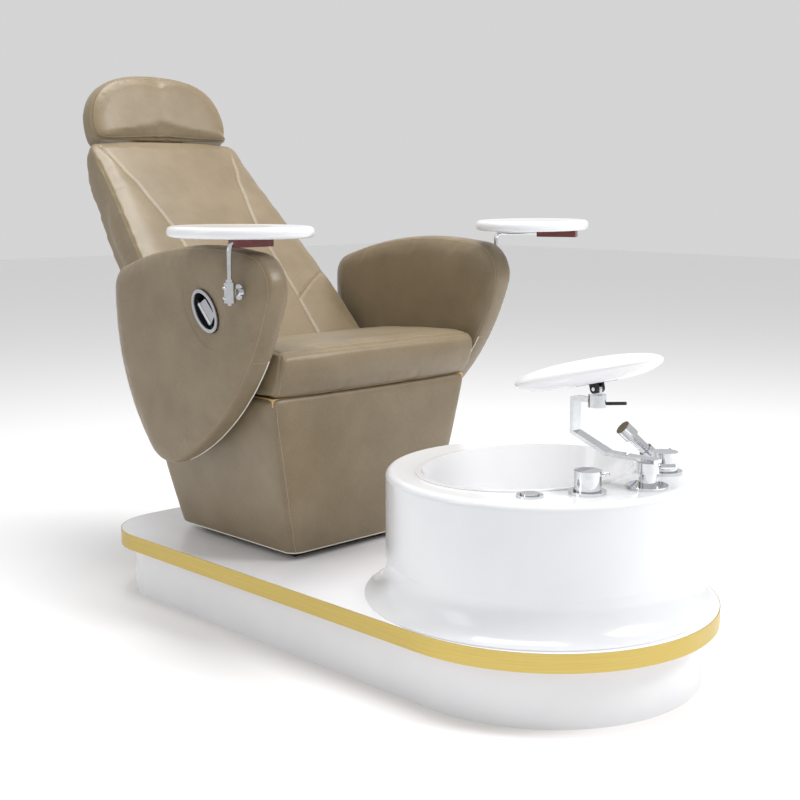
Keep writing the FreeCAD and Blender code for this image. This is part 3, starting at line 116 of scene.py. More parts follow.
def leatherMaterial(name, spec):
    # Upholstery leather: pebbled grain about 1.2 mm across, soft mottling, pearl finish
    material, tree, shader = startMaterial(name, {
        "Specular IOR Level": 0.42, "Coat Weight": 0.12, "Coat Roughness": 0.3,
        "Sheen Weight": 0.08, "Sheen Roughness": 0.5})
    place = addNode(tree, "ShaderNodeTexCoord").outputs["Object"]
    mottle = addNode(tree, "ShaderNodeTexNoise", {"Scale": 9, "Detail": 4, "Roughness": 0.6},
                     {"Vector": place})
    fine = addNode(tree, "ShaderNodeTexNoise", {"Scale": 420, "Detail": 3, "Roughness": 0.65},
                   {"Vector": place})
    pebble = addNode(tree, "ShaderNodeTexVoronoi", {"Scale": 780, "Randomness": 0.9},
                     {"Vector": place})
    crease = addNode(tree, "ShaderNodeTexNoise", {"Scale": 60, "Detail": 5, "Roughness": 0.7,
                                                  "Distortion": 0.6}, {"Vector": place})
    broad = ramp(tree, mottle.outputs["Fac"], [(0.3, linear(spec["low"])), (0.7, linear(spec["high"]))])
    dots = ramp(tree, fine.outputs["Fac"], [(0.32, (0.80, 0.79, 0.78)), (0.6, (1.03, 1.03, 1.03))])
    colour = addNode(tree, "ShaderNodeMix", {"data_type": "RGBA", "blend_type": "MULTIPLY", 0: 0.75})
    tree.links.new(broad, colour.inputs[6])
    tree.links.new(dots, colour.inputs[7])
    tree.links.new(colour.outputs[2], shader.inputs["Base Color"])
    gloss = addNode(tree, "ShaderNodeMapRange", {"From Min": 0.3, "From Max": 0.7, "To Min": spec["gloss"],
                                                 "To Max": spec["gloss"] + 0.12},
                    {"Value": crease.outputs["Fac"]})
    tree.links.new(gloss.outputs["Result"], shader.inputs["Roughness"])
    under = toBump(tree, shader, crease.outputs["Fac"], 0.2, 0.8 * mm)
    under = toBump(tree, shader, fine.outputs["Fac"], 0.35, 0.25 * mm, under)
    toBump(tree, shader, pebble.outputs["Distance"], 0.45, 0.2 * mm, under)
    return material


def shellMaterial(name, spec):
    # Moulded acrylic or gelcoat: glossy, with a faint long-wave unevenness and fine dust
    material, tree, shader = startMaterial(name, {
        "Specular IOR Level": 0.5, "Coat Weight": spec["coat"], "Coat Roughness": 0.06})
    place = addNode(tree, "ShaderNodeTexCoord").outputs["Object"]
    wave = addNode(tree, "ShaderNodeTexNoise", {"Scale": 5, "Detail": 2}, {"Vector": place})
    dust = addNode(tree, "ShaderNodeTexNoise", {"Scale": 260, "Detail": 4, "Roughness": 0.7},
                   {"Vector": place})
    colour = ramp(tree, wave.outputs["Fac"], [(0.3, linear(spec["low"])), (0.7, linear(spec["high"]))])
    tree.links.new(colour, shader.inputs["Base Color"])
    gloss = addNode(tree, "ShaderNodeMapRange", {"From Min": 0.35, "From Max": 0.75,
                                                 "To Min": spec["gloss"], "To Max": spec["gloss"] + 0.1},
                    {"Value": dust.outputs["Fac"]})
    tree.links.new(gloss.outputs["Result"], shader.inputs["Roughness"])
    toBump(tree, shader, wave.outputs["Fac"], 0.12, 2 * mm)
    return material


def chromeMaterial(name, spec):
    # Chrome plate: mirror-like, with faint wipe marks in the roughness
    material, tree, shader = startMaterial(name, {"Metallic": 1.0})
    place = addNode(tree, "ShaderNodeTexCoord").outputs["Object"]
    marks = addNode(tree, "ShaderNodeTexNoise", {"Scale": 90, "Detail": 5, "Roughness": 0.6},
                    {"Vector": place})
    colour = ramp(tree, marks.outputs["Fac"], [(0.2, linear(spec["low"])), (0.8, linear(spec["high"]))])
    tree.links.new(colour, shader.inputs["Base Color"])
    gloss = addNode(tree, "ShaderNodeMapRange", {"From Min": 0.3, "From Max": 0.8,
                                                 "To Min": spec["gloss"], "To Max": spec["gloss"] + 0.06},
                    {"Value": marks.outputs["Fac"]})
    tree.links.new(gloss.outputs["Result"], shader.inputs["Roughness"])
    return material


def brushedMaterial(name, spec):
    # Brushed metal: fine streaks along the sheet, 0.4 mm apart
    material, tree, shader = startMaterial(name, {"Metallic": 1.0, "Anisotropic": 0.4})
    place = addNode(tree, "ShaderNodeTexCoord").outputs["Object"]
    stretch = addNode(tree, "ShaderNodeMapping", {"Scale": spec["grain"]}, {"Vector": place})
    streaks = addNode(tree, "ShaderNodeTexNoise", {"Scale": 1, "Detail": 3, "Roughness": 0.6},
                      {"Vector": stretch.outputs["Vector"]})
    colour = ramp(tree, streaks.outputs["Fac"], [(0.3, linear(spec["low"])), (0.7, linear(spec["high"]))])
    tree.links.new(colour, shader.inputs["Base Color"])
    gloss = addNode(tree, "ShaderNodeMapRange", {"From Min": 0.3, "From Max": 0.7,
                                                 "To Min": spec["gloss"], "To Max": spec["gloss"] + 0.14},
                    {"Value": streaks.outputs["Fac"]})
    tree.links.new(gloss.outputs["Result"], shader.inputs["Roughness"])
    toBump(tree, shader, streaks.outputs["Fac"], 0.15, 0.1 * mm)
    return material


def paintedMaterial(name, spec):
    # Painted or moulded dark surfaces: fine orange peel and slightly dusty faces
    material, tree, shader = startMaterial(name, {"Specular IOR Level": 0.4})
    place = addNode(tree, "ShaderNodeTexCoord").outputs["Object"]
    peel = addNode(tree, "ShaderNodeTexNoise", {"Scale": 500, "Detail": 3}, {"Vector": place})
    dust = addNode(tree, "ShaderNodeTexNoise", {"Scale": 14, "Detail": 5}, {"Vector": place})
    colour = ramp(tree, dust.outputs["Fac"], [(0.35, linear(spec["low"])), (0.75, linear(spec["high"]))])
    tree.links.new(colour, shader.inputs["Base Color"])
    gloss = addNode(tree, "ShaderNodeMapRange", {"To Min": spec["gloss"], "To Max": spec["gloss"] + 0.2},
                    {"Value": dust.outputs["Fac"]})
    tree.links.new(gloss.outputs["Result"], shader.inputs["Roughness"])
    toBump(tree, shader, peel.outputs["Fac"], 0.2, 0.15 * mm)
    return material


def woodMaterial(name, spec):
    # Wood: long grain with rings stretched along the board
    material, tree, shader = startMaterial(name, {"Coat Weight": spec["coat"], "Coat Roughness": 0.15})
    place = addNode(tree, "ShaderNodeTexCoord").outputs["Object"]
    stretch = addNode(tree, "ShaderNodeMapping", {"Scale": spec["grain"]}, {"Vector": place})
    rings = addNode(tree, "ShaderNodeTexNoise", {"Scale": 1, "Detail": 6, "Roughness": 0.62,
                                                 "Distortion": 1.2},
                    {"Vector": stretch.outputs["Vector"]})
    colour = ramp(tree, rings.outputs["Fac"], [(0.35, linear(spec["low"])), (0.65, linear(spec["high"]))])
    tree.links.new(colour, shader.inputs["Base Color"])
    gloss = addNode(tree, "ShaderNodeMapRange", {"To Min": spec["gloss"], "To Max": spec["gloss"] + 0.15},
                    {"Value": rings.outputs["Fac"]})
    tree.links.new(gloss.outputs["Result"], shader.inputs["Roughness"])
    toBump(tree, shader, rings.outputs["Fac"], 0.25, 0.3 * mm)
    return material


def threadMaterial(name, spec):
    # Sewing thread: matte twisted polyester
    material, tree, shader = startMaterial(name, {"Roughness": 0.7, "Specular IOR Level": 0.3})
    place = addNode(tree, "ShaderNodeTexCoord").outputs["Object"]
    twist = addNode(tree, "ShaderNodeTexNoise", {"Scale": 1500, "Detail": 2}, {"Vector": place})
    colour = ramp(tree, twist.outputs["Fac"], [(0.3, linear(spec["low"])), (0.7, linear(spec["high"]))])
    tree.links.new(colour, shader.inputs["Base Color"])
    toBump(tree, shader, twist.outputs["Fac"], 0.4, 0.2 * mm)
    return material


# Coated upholstery leather, embossed: a soft sheen on the swells
leather = leatherMaterial("tanLeather", {"low": "#776850", "high": "#85765D", "gloss": 0.34})
# Gelcoat laid up in a mould: deep gloss under a clear coat
whiteShell = shellMaterial("whiteGelcoat", {"low": "#DCDDE0", "high": "#E3E4E6",
                                            "gloss": 0.16, "coat": 0.5})
# Vacuum-formed acrylic sheet: the glossiest of the whites
basinShell = shellMaterial("whiteAcrylic", {"low": "#E6E6E8", "high": "#ECECED",
                                            "gloss": 0.1, "coat": 0.8})
# High-pressure laminate: white with a satin face
deckShell = shellMaterial("whiteDeckLaminate", {"low": "#F1F1F4", "high": "#F6F6F8",
                                                "gloss": 0.28, "coat": 0.2})
# Coated foam skin: satin and a little warmer than the shells
padVinyl = shellMaterial("whiteVinyl", {"low": "#E6E6E8", "high": "#EDEDEE",
                                        "gloss": 0.3, "coat": 0.2})
# Anodised aluminium strip, brushed along its length
goldBand = brushedMaterial("brushedGoldBand", {"low": "#B39C54", "high": "#CDB871",
                                               "gloss": 0.3, "grain": (9, 9, 2600)})
# Polished brass with chrome plating: it mirrors the lights
chrome = chromeMaterial("chromePlate", {"low": "#CFD1D4", "high": "#E4E6E8", "gloss": 0.04})
# Nickel-plated zinc casting, satin finish
silverPlate = brushedMaterial("satinSilverPlate", {"low": "#B4B6BA", "high": "#D0D2D5",
                                                   "gloss": 0.28, "grain": (200, 900, 900)})
# Zinc-plated steel, drawn: bright with fine lines
brightSteel = brushedMaterial("zincSteel", {"low": "#A9ABAE", "high": "#C6C8CA",
                                            "gloss": 0.25, "grain": (700, 90, 90)})
# Powder-coated steel: nearly black, low gloss
blackSteel = paintedMaterial("blackPaintedSteel", {"low": "#161618", "high": "#242426",
                                                   "gloss": 0.35})
# Moulded ABS: black with a fine texture
blackPlastic = paintedMaterial("blackMouldedPlastic", {"low": "#1A1A1C", "high": "#2A2A2C",
                                                       "gloss": 0.4})
# Birch plywood, sawn and unfinished
plywood = woodMaterial("birchPlywood", {"low": "#B8925C", "high": "#D6B482", "gloss": 0.55,
                                        "coat": 0.0, "grain": (30, 30, 420)})
# Beech block, stained red-brown and lacquered
stainedWood = woodMaterial("mahoganyStainedBlock", {"low": "#451412", "high": "#7C2C28",
                                                    "gloss": 0.25, "coat": 0.4,
                                                    "grain": (60, 60, 400)})
# Twisted polyester sewing thread and a woven welt
thread = threadMaterial("tanThread", {"low": "#A8956F", "high": "#C9B893"})
liningWelt = threadMaterial("creamWelt", {"low": "#D9D2C2", "high": "#F0EBDF"})
print("materials ready")


# Mesh helpers

def makeObject(name, points, faces, material):
    mesh = bpy.data.meshes.new(name)
    mesh.from_pydata([tuple(p) for p in points], [], faces)
    mesh.update()
    item = bpy.data.objects.new(name, mesh)
    scene.collection.objects.link(item)
    item.data.materials.append(material)
    tidy = bmesh.new()
    tidy.from_mesh(mesh)
    bmesh.ops.remove_doubles(tidy, verts=tidy.verts, dist=1e-6)
    bmesh.ops.recalc_face_normals(tidy, faces=tidy.faces)
    for face in tidy.faces:
        face.smooth = True
    tidy.to_mesh(mesh)
    tidy.free()
    return item


def ringSolid(name, rings, material):
    # Closed rings of equal count, joined by quads and capped at both ends
    points = [point for ring in rings for point in ring]
    count = len(rings[0])
    faces = []
    for r in range(len(rings) - 1):
        for i in range(count):
            j = (i + 1) % count
            faces.append((r * count + i, r * count + j, (r + 1) * count + j, (r + 1) * count + i))
    for r in (0, len(rings) - 1):
        ring = [Vector(p) for p in rings[r]]
        for triangle in tessellate_polygon([ring]):
            faces.append(tuple(r * count + i for i in triangle))
    return makeObject(name, points, faces, material)


def applyModifier(item, modifier):
    bpy.context.view_layer.objects.active = item
    bpy.ops.object.modifier_apply(modifier=modifier.name)


def remesh(item, voxel, smoothing=3):
    modifier = item.modifiers.new("Remesh", "REMESH")
    modifier.mode = "VOXEL"
    modifier.voxel_size = voxel
    modifier.use_smooth_shade = True
    applyModifier(item, modifier)
    if smoothing:
        modifier = item.modifiers.new("Smooth", "SMOOTH")
        modifier.factor = 0.5
        modifier.iterations = smoothing
        applyModifier(item, modifier)


def inflate(item, pressure, cap):
    # The stuffing pushes the cover out, and no point moves further than the cap
    start = [v.co.copy() for v in item.data.vertices]
    cloth = item.modifiers.new("Cloth", "CLOTH")
    cloth.settings.quality = 4
    cloth.settings.mass = 0.3
    cloth.settings.use_pressure = True
    cloth.settings.uniform_pressure_force = pressure
    cloth.settings.tension_stiffness = 12
    cloth.settings.compression_stiffness = 12
    cloth.settings.bending_stiffness = 1.5
    cloth.settings.effector_weights.gravity = 0
    cloth.point_cache.frame_start = 1
    cloth.point_cache.frame_end = clothFrames
    for step in range(1, clothFrames + 1):
        scene.frame_set(step)
    swollen = item.evaluated_get(bpy.context.evaluated_depsgraph_get())
    moved = [v.co.copy() for v in swollen.data.vertices]
    item.modifiers.remove(cloth)
    scene.frame_set(1)
    for vertex, old, new in zip(item.data.vertices, start, moved):
        step = new - old
        if step.length > cap:
            step = step * (cap / step.length)
        vertex.co = old + step
    item.data.update()


def subdivide(item, levels=1):
    modifier = item.modifiers.new("Subdivision", "SUBSURF")
    modifier.levels = levels
    modifier.render_levels = levels
    applyModifier(item, modifier)


def spread(points, gap, closed=False):
    # Points evenly along a line
    line = [Vector(p) for p in points]
    if closed:
        line.append(line[0])
    lengths = [0]
    for a, b in zip(line, line[1:]):
        lengths.append(lengths[-1] + (b - a).length)
    count = max(2, round(lengths[-1] / gap))
    result = []
    k = 0
    for i in range(count if closed else count + 1):
        at = lengths[-1] * i / count
        while k < len(line) - 2 and lengths[k + 1] < at:
            k += 1
        span = lengths[k + 1] - lengths[k] or 1
        result.append(line[k].lerp(line[k + 1], (at - lengths[k]) / span))
    return result


def smoothLine(points, gap):
    # A Catmull-Rom line through the given points
    line = [Vector(p) for p in points]
    line = [line[0] * 2 - line[1]] + line + [line[-1] * 2 - line[-2]]
    result = []
    for i in range(1, len(line) - 2):
        a, b, c, d = line[i - 1:i + 3]
        for k in range(12):
            t = k / 12
            result.append(0.5 * ((2 * b) + (c - a) * t + (2 * a - 5 * b + 4 * c - d) * t * t
                                 + (3 * b - a - 3 * c + d) * t ** 3))
    result.append(line[-2])
    return spread(result, gap)


def carve(item, lines, width, depth):
    # Presses the cover in along seam lines
    samples = [p for line in lines for p in spread(line, 1.5 * mm)]
    tree = KDTree(len(samples))
    for i, point in enumerate(samples):
        tree.insert(point, i)
    tree.balance()
    places = [v.co.copy() for v in item.data.vertices]
    normals = [v.normal.copy() for v in item.data.vertices]
    for vertex, place, normal in zip(item.data.vertices, places, normals):
        near = tree.find(place)[2]
        if near < width:
            vertex.co = place - normal * depth * (1 - (near / width) ** 2) ** 2
    item.data.update()


def surfaceOf(item):
    return BVHTree.FromObject(item, bpy.context.evaluated_depsgraph_get())


def tube(points, radius, sides=6, closed=False):
    # Rings of a tube along a line
    line = [Vector(p) for p in points]
    rings = []
    normal = None
    for i, point in enumerate(line):
        ahead = line[(i + 1) % len(line)] if closed or i + 1 < len(line) else point
        behind = line[i - 1] if closed or i else point
        along = (ahead - behind).normalized()
        if normal is None:
            normal = along.orthogonal().normalized()
        normal = (normal - along * normal.dot(along)).normalized()
        across = along.cross(normal)
        size = radius[i] if isinstance(radius, list) else radius
        rings.append([point + (normal * math.cos(a) + across * math.sin(a)) * size
                      for a in (2 * math.pi * k / sides for k in range(sides))])
    return rings


def tubeObject(name, points, radius, material, sides=12, closed=False):
    rings = tube(points, radius, sides, closed)
    if closed:
        verts = [p for ring in rings for p in ring]
        faces = []
        for r in range(len(rings)):
            n = (r + 1) % len(rings)
            for i in range(sides):
                j = (i + 1) % sides
                faces.append((r * sides + i, r * sides + j, n * sides + j, n * sides + i))
        return makeObject(name, verts, faces, material)
    return ringSolid(name, rings, material)


def stitches(name, item, lines, body, spec):
    # A row of thread stitches that lies on the cover along each line
    surface = surfaceOf(item)
    verts = []
    faces = []
    half = spec["radius"]
    for line in lines:
        marks = spread(line, spec["pitch"])
        for a, b in zip(marks, marks[1:]):
            end = a.lerp(b, spec["fill"])
            pieces = []
            for t in (0, 0.25, 0.5, 0.75, 1):
                near = surface.find_nearest(a.lerp(end, t))
                lift = half * (0.9 if 0 < t < 1 else -0.3)
                pieces.append(near[0] + near[1] * lift)
            first = len(verts)
            rings = tube(pieces, [half * 0.5, half, half, half, half * 0.5], 6)
            verts += [p for ring in rings for p in ring]
            for r in range(4):
                for i in range(6):
                    j = (i + 1) % 6
                    faces.append((first + r * 6 + i, first + r * 6 + j,
                                  first + r * 6 + 6 + j, first + r * 6 + 6 + i))
            faces.append(tuple(first + i for i in range(6)))
            faces.append(tuple(first + 24 + i for i in reversed(range(6))))
    threads = makeObject(name, verts, faces, thread)
    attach(threads, body)


def finishPiece(item, body, replaced=()):
    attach(item, body)
    if replaced:
        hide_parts(*replaced)


def smoothStep(low, high, value):
    t = min(1, max(0, (value - low) / (high - low)))
    return t * t * (3 - 2 * t)


stitchSpec = {"radius": 0.45 * mm, "pitch": 5.2 * mm, "fill": 0.72}


# Arms

# Corners are (y, z, radius); the sides bulge with the radii below
arm = {"front": (0.112, 0.817, 0.082), "rear": (0.592, 0.790, 0.060),
       "foot": (0.440, 0.474, 0.098), "bulges": (1.000, 0.510, 0.650),
       "pressure": 3.0, "cap": 5 * mm, "seamWidth": 6 * mm, "seamDepth": 2.6 * mm,
       "weltRadius": 1.6 * mm}


def armOutline(gap):
    # Three round corners joined by three bulging sides, in (y, z)
    corners = [Vector((c[0], c[1])) for c in (arm["front"], arm["rear"], arm["foot"])]
    radii = [c[2] for c in (arm["front"], arm["rear"], arm["foot"])]
    big = []
    for i in range(3):
        first, second = corners[i], corners[(i + 1) % 3]
        a = arm["bulges"][i] - radii[i]
        b = arm["bulges"][i] - radii[(i + 1) % 3]
        span = (second - first).length
        along = (second - first) / span
        side = Vector((along.y, -along.x))
        reach = (span ** 2 + a ** 2 - b ** 2) / (2 * span)
        big.append(first + along * reach + side * math.sqrt(a ** 2 - reach ** 2))
    line = []
    for i in range(3):
        arcs = ((corners[i], radii[i], corners[i] - big[i - 1], corners[i] - big[i]),
                (big[i], arm["bulges"][i], corners[i] - big[i], corners[(i + 1) % 3] - big[i]))
        for centre, radius, start, stop in arcs:
            first = math.atan2(start.y, start.x)
            turn = (math.atan2(stop.y, stop.x) - first + math.pi) % (2 * math.pi) - math.pi
            for k in range(24):
                angle = first + turn * k / 24
                line.append((centre.x + radius * math.cos(angle), centre.y + radius * math.sin(angle), 0))
    return spread(line, gap, True)


armLine = armOutline(6 * mm)
armMiddle = Vector((sum(p.x for p in armLine), sum(p.y for p in armLine), 0)) / len(armLine)


def armRing(x, inset):
    ring = []
    for p in armLine:
        away = p - armMiddle
        moved = armMiddle + away * (1 - inset / away.length)
        ring.append(Vector((x, moved.x, moved.y)))
    return ring


def cupPlace(point, spec):
    # Position in the lever cup's own axes: along it and across it
    dy, dz = point.y - spec["y"], point.z - spec["z"]
    angle = math.radians(spec["turn"])
    return (-math.sin(angle) * dy - math.cos(angle) * dz,
            -math.cos(angle) * dy + math.sin(angle) * dz)


cup = {"y": 0.255, "z": 0.760, "turn": 44, "long": 0.050, "wide": 0.031,
       "floor": -0.3715, "face": -0.4000, "pull": 0.0035}


def makeArm(name, side):
    sections = [(0.396, 0.160), (0.3955, 0.110), (0.395, 0.070), (0.394, 0.040), (0.3925, 0.020),
                (0.390, 0.008), (0.386, 0.002), (0.376, 0.0), (0.360, -0.001), (0.346, 0.0),
                (0.338, 0.002), (0.334, 0.007), (0.329, 0.018), (0.326, 0.040), (0.3245, 0.080),
                (0.324, 0.160)]
    rings = [armRing(side * x, inset + 0.001) for x, inset in sections]
    item = ringSolid(f"armUpholstery_{name}", rings, leather)
    remesh(item, 7 * mm)
    inflate(item, arm["pressure"], arm["cap"])
    subdivide(item)
    outer = armRing(side * 0.3885, 0.004)
    inner = armRing(side * 0.3355, 0.004)
    seams = [outer + outer[:1], inner + inner[:1]]
    # The seam across the boxing at the lower front
    cross = min(armLine, key=lambda p: (p - Vector((0.094, 0.656, 0))).length)
    seams.append([Vector((side * x, cross.x, cross.y)) for x in (0.388, 0.37, 0.35, 0.336)])
    carve(item, seams, arm["seamWidth"], arm["seamDepth"])
    if side < 0:
        for vertex in item.data.vertices:
            if vertex.co.x > -0.37:
                continue
            along, across = cupPlace(vertex.co, cup)
            ratio = math.hypot(along / (cup["long"] + 0.003), across / (cup["wide"] + 0.003))
            if ratio < 1:
                vertex.co.x = cup["floor"]
            elif ratio < 1.9:
                # The cover is pulled in around the bezel
                pull = (1.9 - ratio) / 0.9
                vertex.co.x = max(vertex.co.x, cup["face"]) + cup["pull"] * pull ** 2
        item.data.update()
    layers = (f"arm_outer_pad_{name}", f"arm_inner_pad_{name}", f"arm_core_{name}")
    finishPiece(item, "frame", layers)
    sew = []
    for x, inset in ((0.3925, 0.010), (0.3315, 0.010)):
        ring = armRing(side * x, inset)
        sew.append(ring + ring[:1])
    sew.append([p + Vector((0, 0.003, -0.005)) for p in seams[2]])
    stitches(f"armStitches_{name}", item, sew, "frame", stitchSpec)
    # The cream welt shows along the lower front of the inner edge
    welt = [Vector((side * 0.337, p.x, p.y)) for p in armLine]
    start = min(range(len(armLine)), key=lambda i: (armLine[i] - cross).length)
    foot = min(range(len(armLine)), key=lambda i: armLine[i].y)
    step = 1 if (start - foot) % len(armLine) < (foot - start) % len(armLine) else -1
    path = []
    k = foot
    while k != start:
        path.append(welt[k])
        k = (k + step) % len(armLine)
    surface = surfaceOf(item)
    path = [surface.find_nearest(p)[0] + surface.find_nearest(p)[1] * 0.3 * mm for p in path]
    strip = tubeObject(f"armWelt_{name}", path, arm["weltRadius"], liningWelt, 8)
    finishPiece(strip, "frame")


makeArm("right", -1)
makeArm("left", 1)
print("arms ready")


# Seat cushion

seat = {"halfWidth": 0.319, "hingeAt": (0.540, 0.585), "hollow": 0.0945, "bow": 0.010,
        "crown": 0.006, "pressure": 3.5, "cap": 5 * mm, "seamWidth": 6 * mm,
        "seamDepth": 2.2 * mm}


def seatProfile():
    # Drawn in (y, z): front face, top, the hollow against the back's roll, underside
    hingeY, hingeZ = seat["hingeAt"]
    line = [(0.118, 0.568), (0.098, 0.60), (0.090, 0.63), (0.092, 0.655), (0.104, 0.666),
            (0.140, 0.669), (0.24, 0.667), (0.36, 0.660), (0.43, 0.652), (0.468, 0.644)]
    roll = []
    for k in range(9):
        angle = math.radians(140 + k * 8)
        roll.append((hingeY + seat["hollow"] * math.cos(angle),
                     hingeZ + seat["hollow"] * math.sin(angle)))
    line = line[:-1] + roll
    line += [(0.43, 0.566), (0.30, 0.566), (0.20, 0.566)]
    return spread([(y, z, 0) for y, z in line], 8 * mm, True)


def makeSeat():
    profile = seatProfile()
    rings = []
    count = 61
    for k in range(count):
        t = math.sin(math.pi / 2 * (-1 + 2 * k / (count - 1)))
        x = seat["halfWidth"] * t
        ring = []
        for p in profile:
            # The front corners are rounded in plan
            edge = max(0, abs(x) - 0.304) / 0.015
            rounding = 0.014 * (1 - math.sqrt(max(0, 1 - edge ** 2)))
            y = p.x + rounding * (1 - smoothStep(0.10, 0.22, p.x))
            bow = seat["bow"] * (1 - t ** 4) * (1 - smoothStep(0.10, 0.20, p.x))
            crown = seat["crown"] * (1 - t ** 4) * smoothStep(0.64, 0.67, p.y)
            ring.append(Vector((x, y - bow, p.y + crown)))
        rings.append(ring)
    item = ringSolid("seatUpholstery", rings, leather)
    remesh(item, 7 * mm)
    inflate(item, seat["pressure"], seat["cap"])
    subdivide(item)
    surface = surfaceOf(item)

    def onSurface(points, gap=6 * mm):
        return [surface.find_nearest(p)[0] for p in spread(points, gap)]

    front = onSurface([(-0.309, 0.118, 0.68), (-0.29, 0.098, 0.68), (0, 0.088, 0.68),
                       (0.29, 0.098, 0.68), (0.309, 0.118, 0.68)])
    sides = [onSurface([(s * 0.318, 0.092, 0.675), (s * 0.318, 0.112, 0.565)]) for s in (-1, 1)]
    tops = [onSurface([(s * 0.309, 0.12, 0.70), (s * 0.309, 0.47, 0.68)]) for s in (-1, 1)]
    seams = [front] + sides + tops
    carve(item, seams, seat["seamWidth"], seat["seamDepth"])
    finishPiece(item, "frame", ("seat_cushion",))
    sew = [[p + Vector((0, -0.004, -0.006)) for p in front],
           [p + Vector((0, 0.007, 0.004)) for p in front]]
    for s, line in zip((-1, 1), sides):
        sew.append([p + Vector((-s * 0.006, -0.002, 0)) for p in line])
    stitches("seatStitches", item, sew, "frame", stitchSpec)


makeSeat()
print("seat ready")


# Base cover: one skirt that flares upwards round the box of boards

# "foot" and "top" are half width, front, rear and corner radius in plan
base = {"foot": (0.242, 0.150, 0.604, 0.024), "top": (0.3195, 0.121, 0.662, 0.026),
        "bottom": 0.180, "height": 0.365, "seatTop": 0.5630, "rearDrop": 0.1225,
        "seamWidth": 6 * mm, "seamDepth": 2.2 * mm, "weltRadius": 1.8 * mm}


def makeBase():
    def corner(halfWidth, front, rear, radius):
        points = []
        for cx, cy, start in ((halfWidth - radius, rear - radius, 0),
                              (-halfWidth + radius, rear - radius, 90),
                              (-halfWidth + radius, front + radius, 180),
                              (halfWidth - radius, front + radius, 270)):
            for k in range(9):
                angle = math.radians(start + k * 90 / 8)
                points.append((cx + radius * math.cos(angle), cy + radius * math.sin(angle), 0))
        return spread(points, 9 * mm, True)

    count = 190

    def even(line):
        around = sum((a - b).length for a, b in zip(line, line[1:] + line[:1]))
        return spread(line, around / count, True)[:count]

    low = even(corner(*base["foot"]))
    high = even(corner(*base["top"]))
    rings = []

    def ringAt(share, pull):
        ring = []
        for a, b in zip(low, high):
            top = base["seatTop"] - base["rearDrop"] * smoothStep(0.430, 0.462, b.y)
            z = base["bottom"] + (top - base["bottom"]) * share
            t = min(1, (z - base["bottom"]) / base["height"])
            p = a.lerp(b, t)
            centre = Vector((0, 0.37, 0))
            away = p - centre
            bulge = 0.004 * math.sin(math.pi * share)
            p = centre + away * (1 + (bulge - pull) / away.length)
            ring.append(Vector((p.x, p.y, z)))
        return ring

    rings.append(ringAt(0, 0.06))
    rings.append(ringAt(0, 0.012))
    rings.append(ringAt(0.004, 0.003))
    for k in range(28):
        rings.append(ringAt(0.015 + 0.965 * k / 27, 0.001))
    rings.append(ringAt(0.994, 0.004))
    rings.append(ringAt(1, 0.012))
    rings.append(ringAt(1, 0.06))
    item = ringSolid("baseUpholstery", rings, leather)
    remesh(item, 7.5 * mm, 2)
    subdivide(item)
    surface = surfaceOf(item)
    seams = []
    for s in (-1, 1):
        line = []
        for k in range(24):
            t = 0.02 + 0.96 * k / 23
            half = 0.242 + 0.0775 * t
            front = 0.150 - 0.028 * t
            edge = Vector((s * (half - 0.004), front + 0.002, 0.180 + 0.380 * t))
            line.append(surface.find_nearest(edge)[0])
        seams.append(line)
    carve(item, seams, base["seamWidth"], base["seamDepth"])
    panels = ("base_panel_front", "base_panel_left", "base_panel_right", "base_panel_rear")
    finishPiece(item, "frame", panels)
    sew = [[p + Vector((-s * 0.007, 0, 0)) for p in line] for s, line in zip((-1, 1), seams)]
    stitches("baseStitches", item, sew, "frame", stitchSpec)
    # Pale welt round the foot of the cover
    foot = [surface.find_nearest(Vector((p.x * 1.01, p.y, 0.1795)))[0] for p in low]
    welt = tubeObject("baseWelt", foot, base["weltRadius"], liningWelt, 8, True)
    finishPiece(welt, "frame")


makeBase()
print("base ready")


# Back: one padded cover over the board, drawn in (u, w): u up the back, w to the front

back = {"roll": 0.0865, "foot": 0.297, "narrowing": 0.052, "corner": 0.040, "cornerStart": 0.6865,
        "crown": 0.004, "sideCrown": 0.003, "edgeDrop": 0.007, "pressure": 2.5, "cap": 4 * mm,
        "seamWidth": 7 * mm, "seamDepth": 3.0 * mm, "edgeWidth": 5.5 * mm, "edgeDepth": 2.2 * mm}
hinge = Vector((0, 0.540, 0.585))
backUp = Vector((0, math.sqrt(0.5), math.sqrt(0.5)))
backFront = Vector((0, -math.sqrt(0.5), math.sqrt(0.5)))


def onBack(x, u, w):
    return hinge + Vector((x, 0, 0)) + backUp * u + backFront * w


def backHalf(u, inset=0.0):
    half = back["foot"] - back["narrowing"] * smoothStep(0.10, 0.70, u)
    over = min(0.0399, max(0, u - back["cornerStart"]))
    return half - back["corner"] + math.sqrt(back["corner"] ** 2 - over ** 2) - inset


def centreSeam(u):
    table = [(-0.10, 0.116), (0.124, 0.130), (0.386, 0.136), (0.4575, 0.148), (0.509, 0.160),
             (0.5615, 0.168), (0.601, 0.184), (0.636, 0.192), (0.70, 0.212)]
    for (a, xa), (b, xb) in zip(table, table[1:]):
        if u <= b:
            t = (u - a) / (b - a)
            return xa + (xb - xa) * max(0, t)
    return table[-1][1]


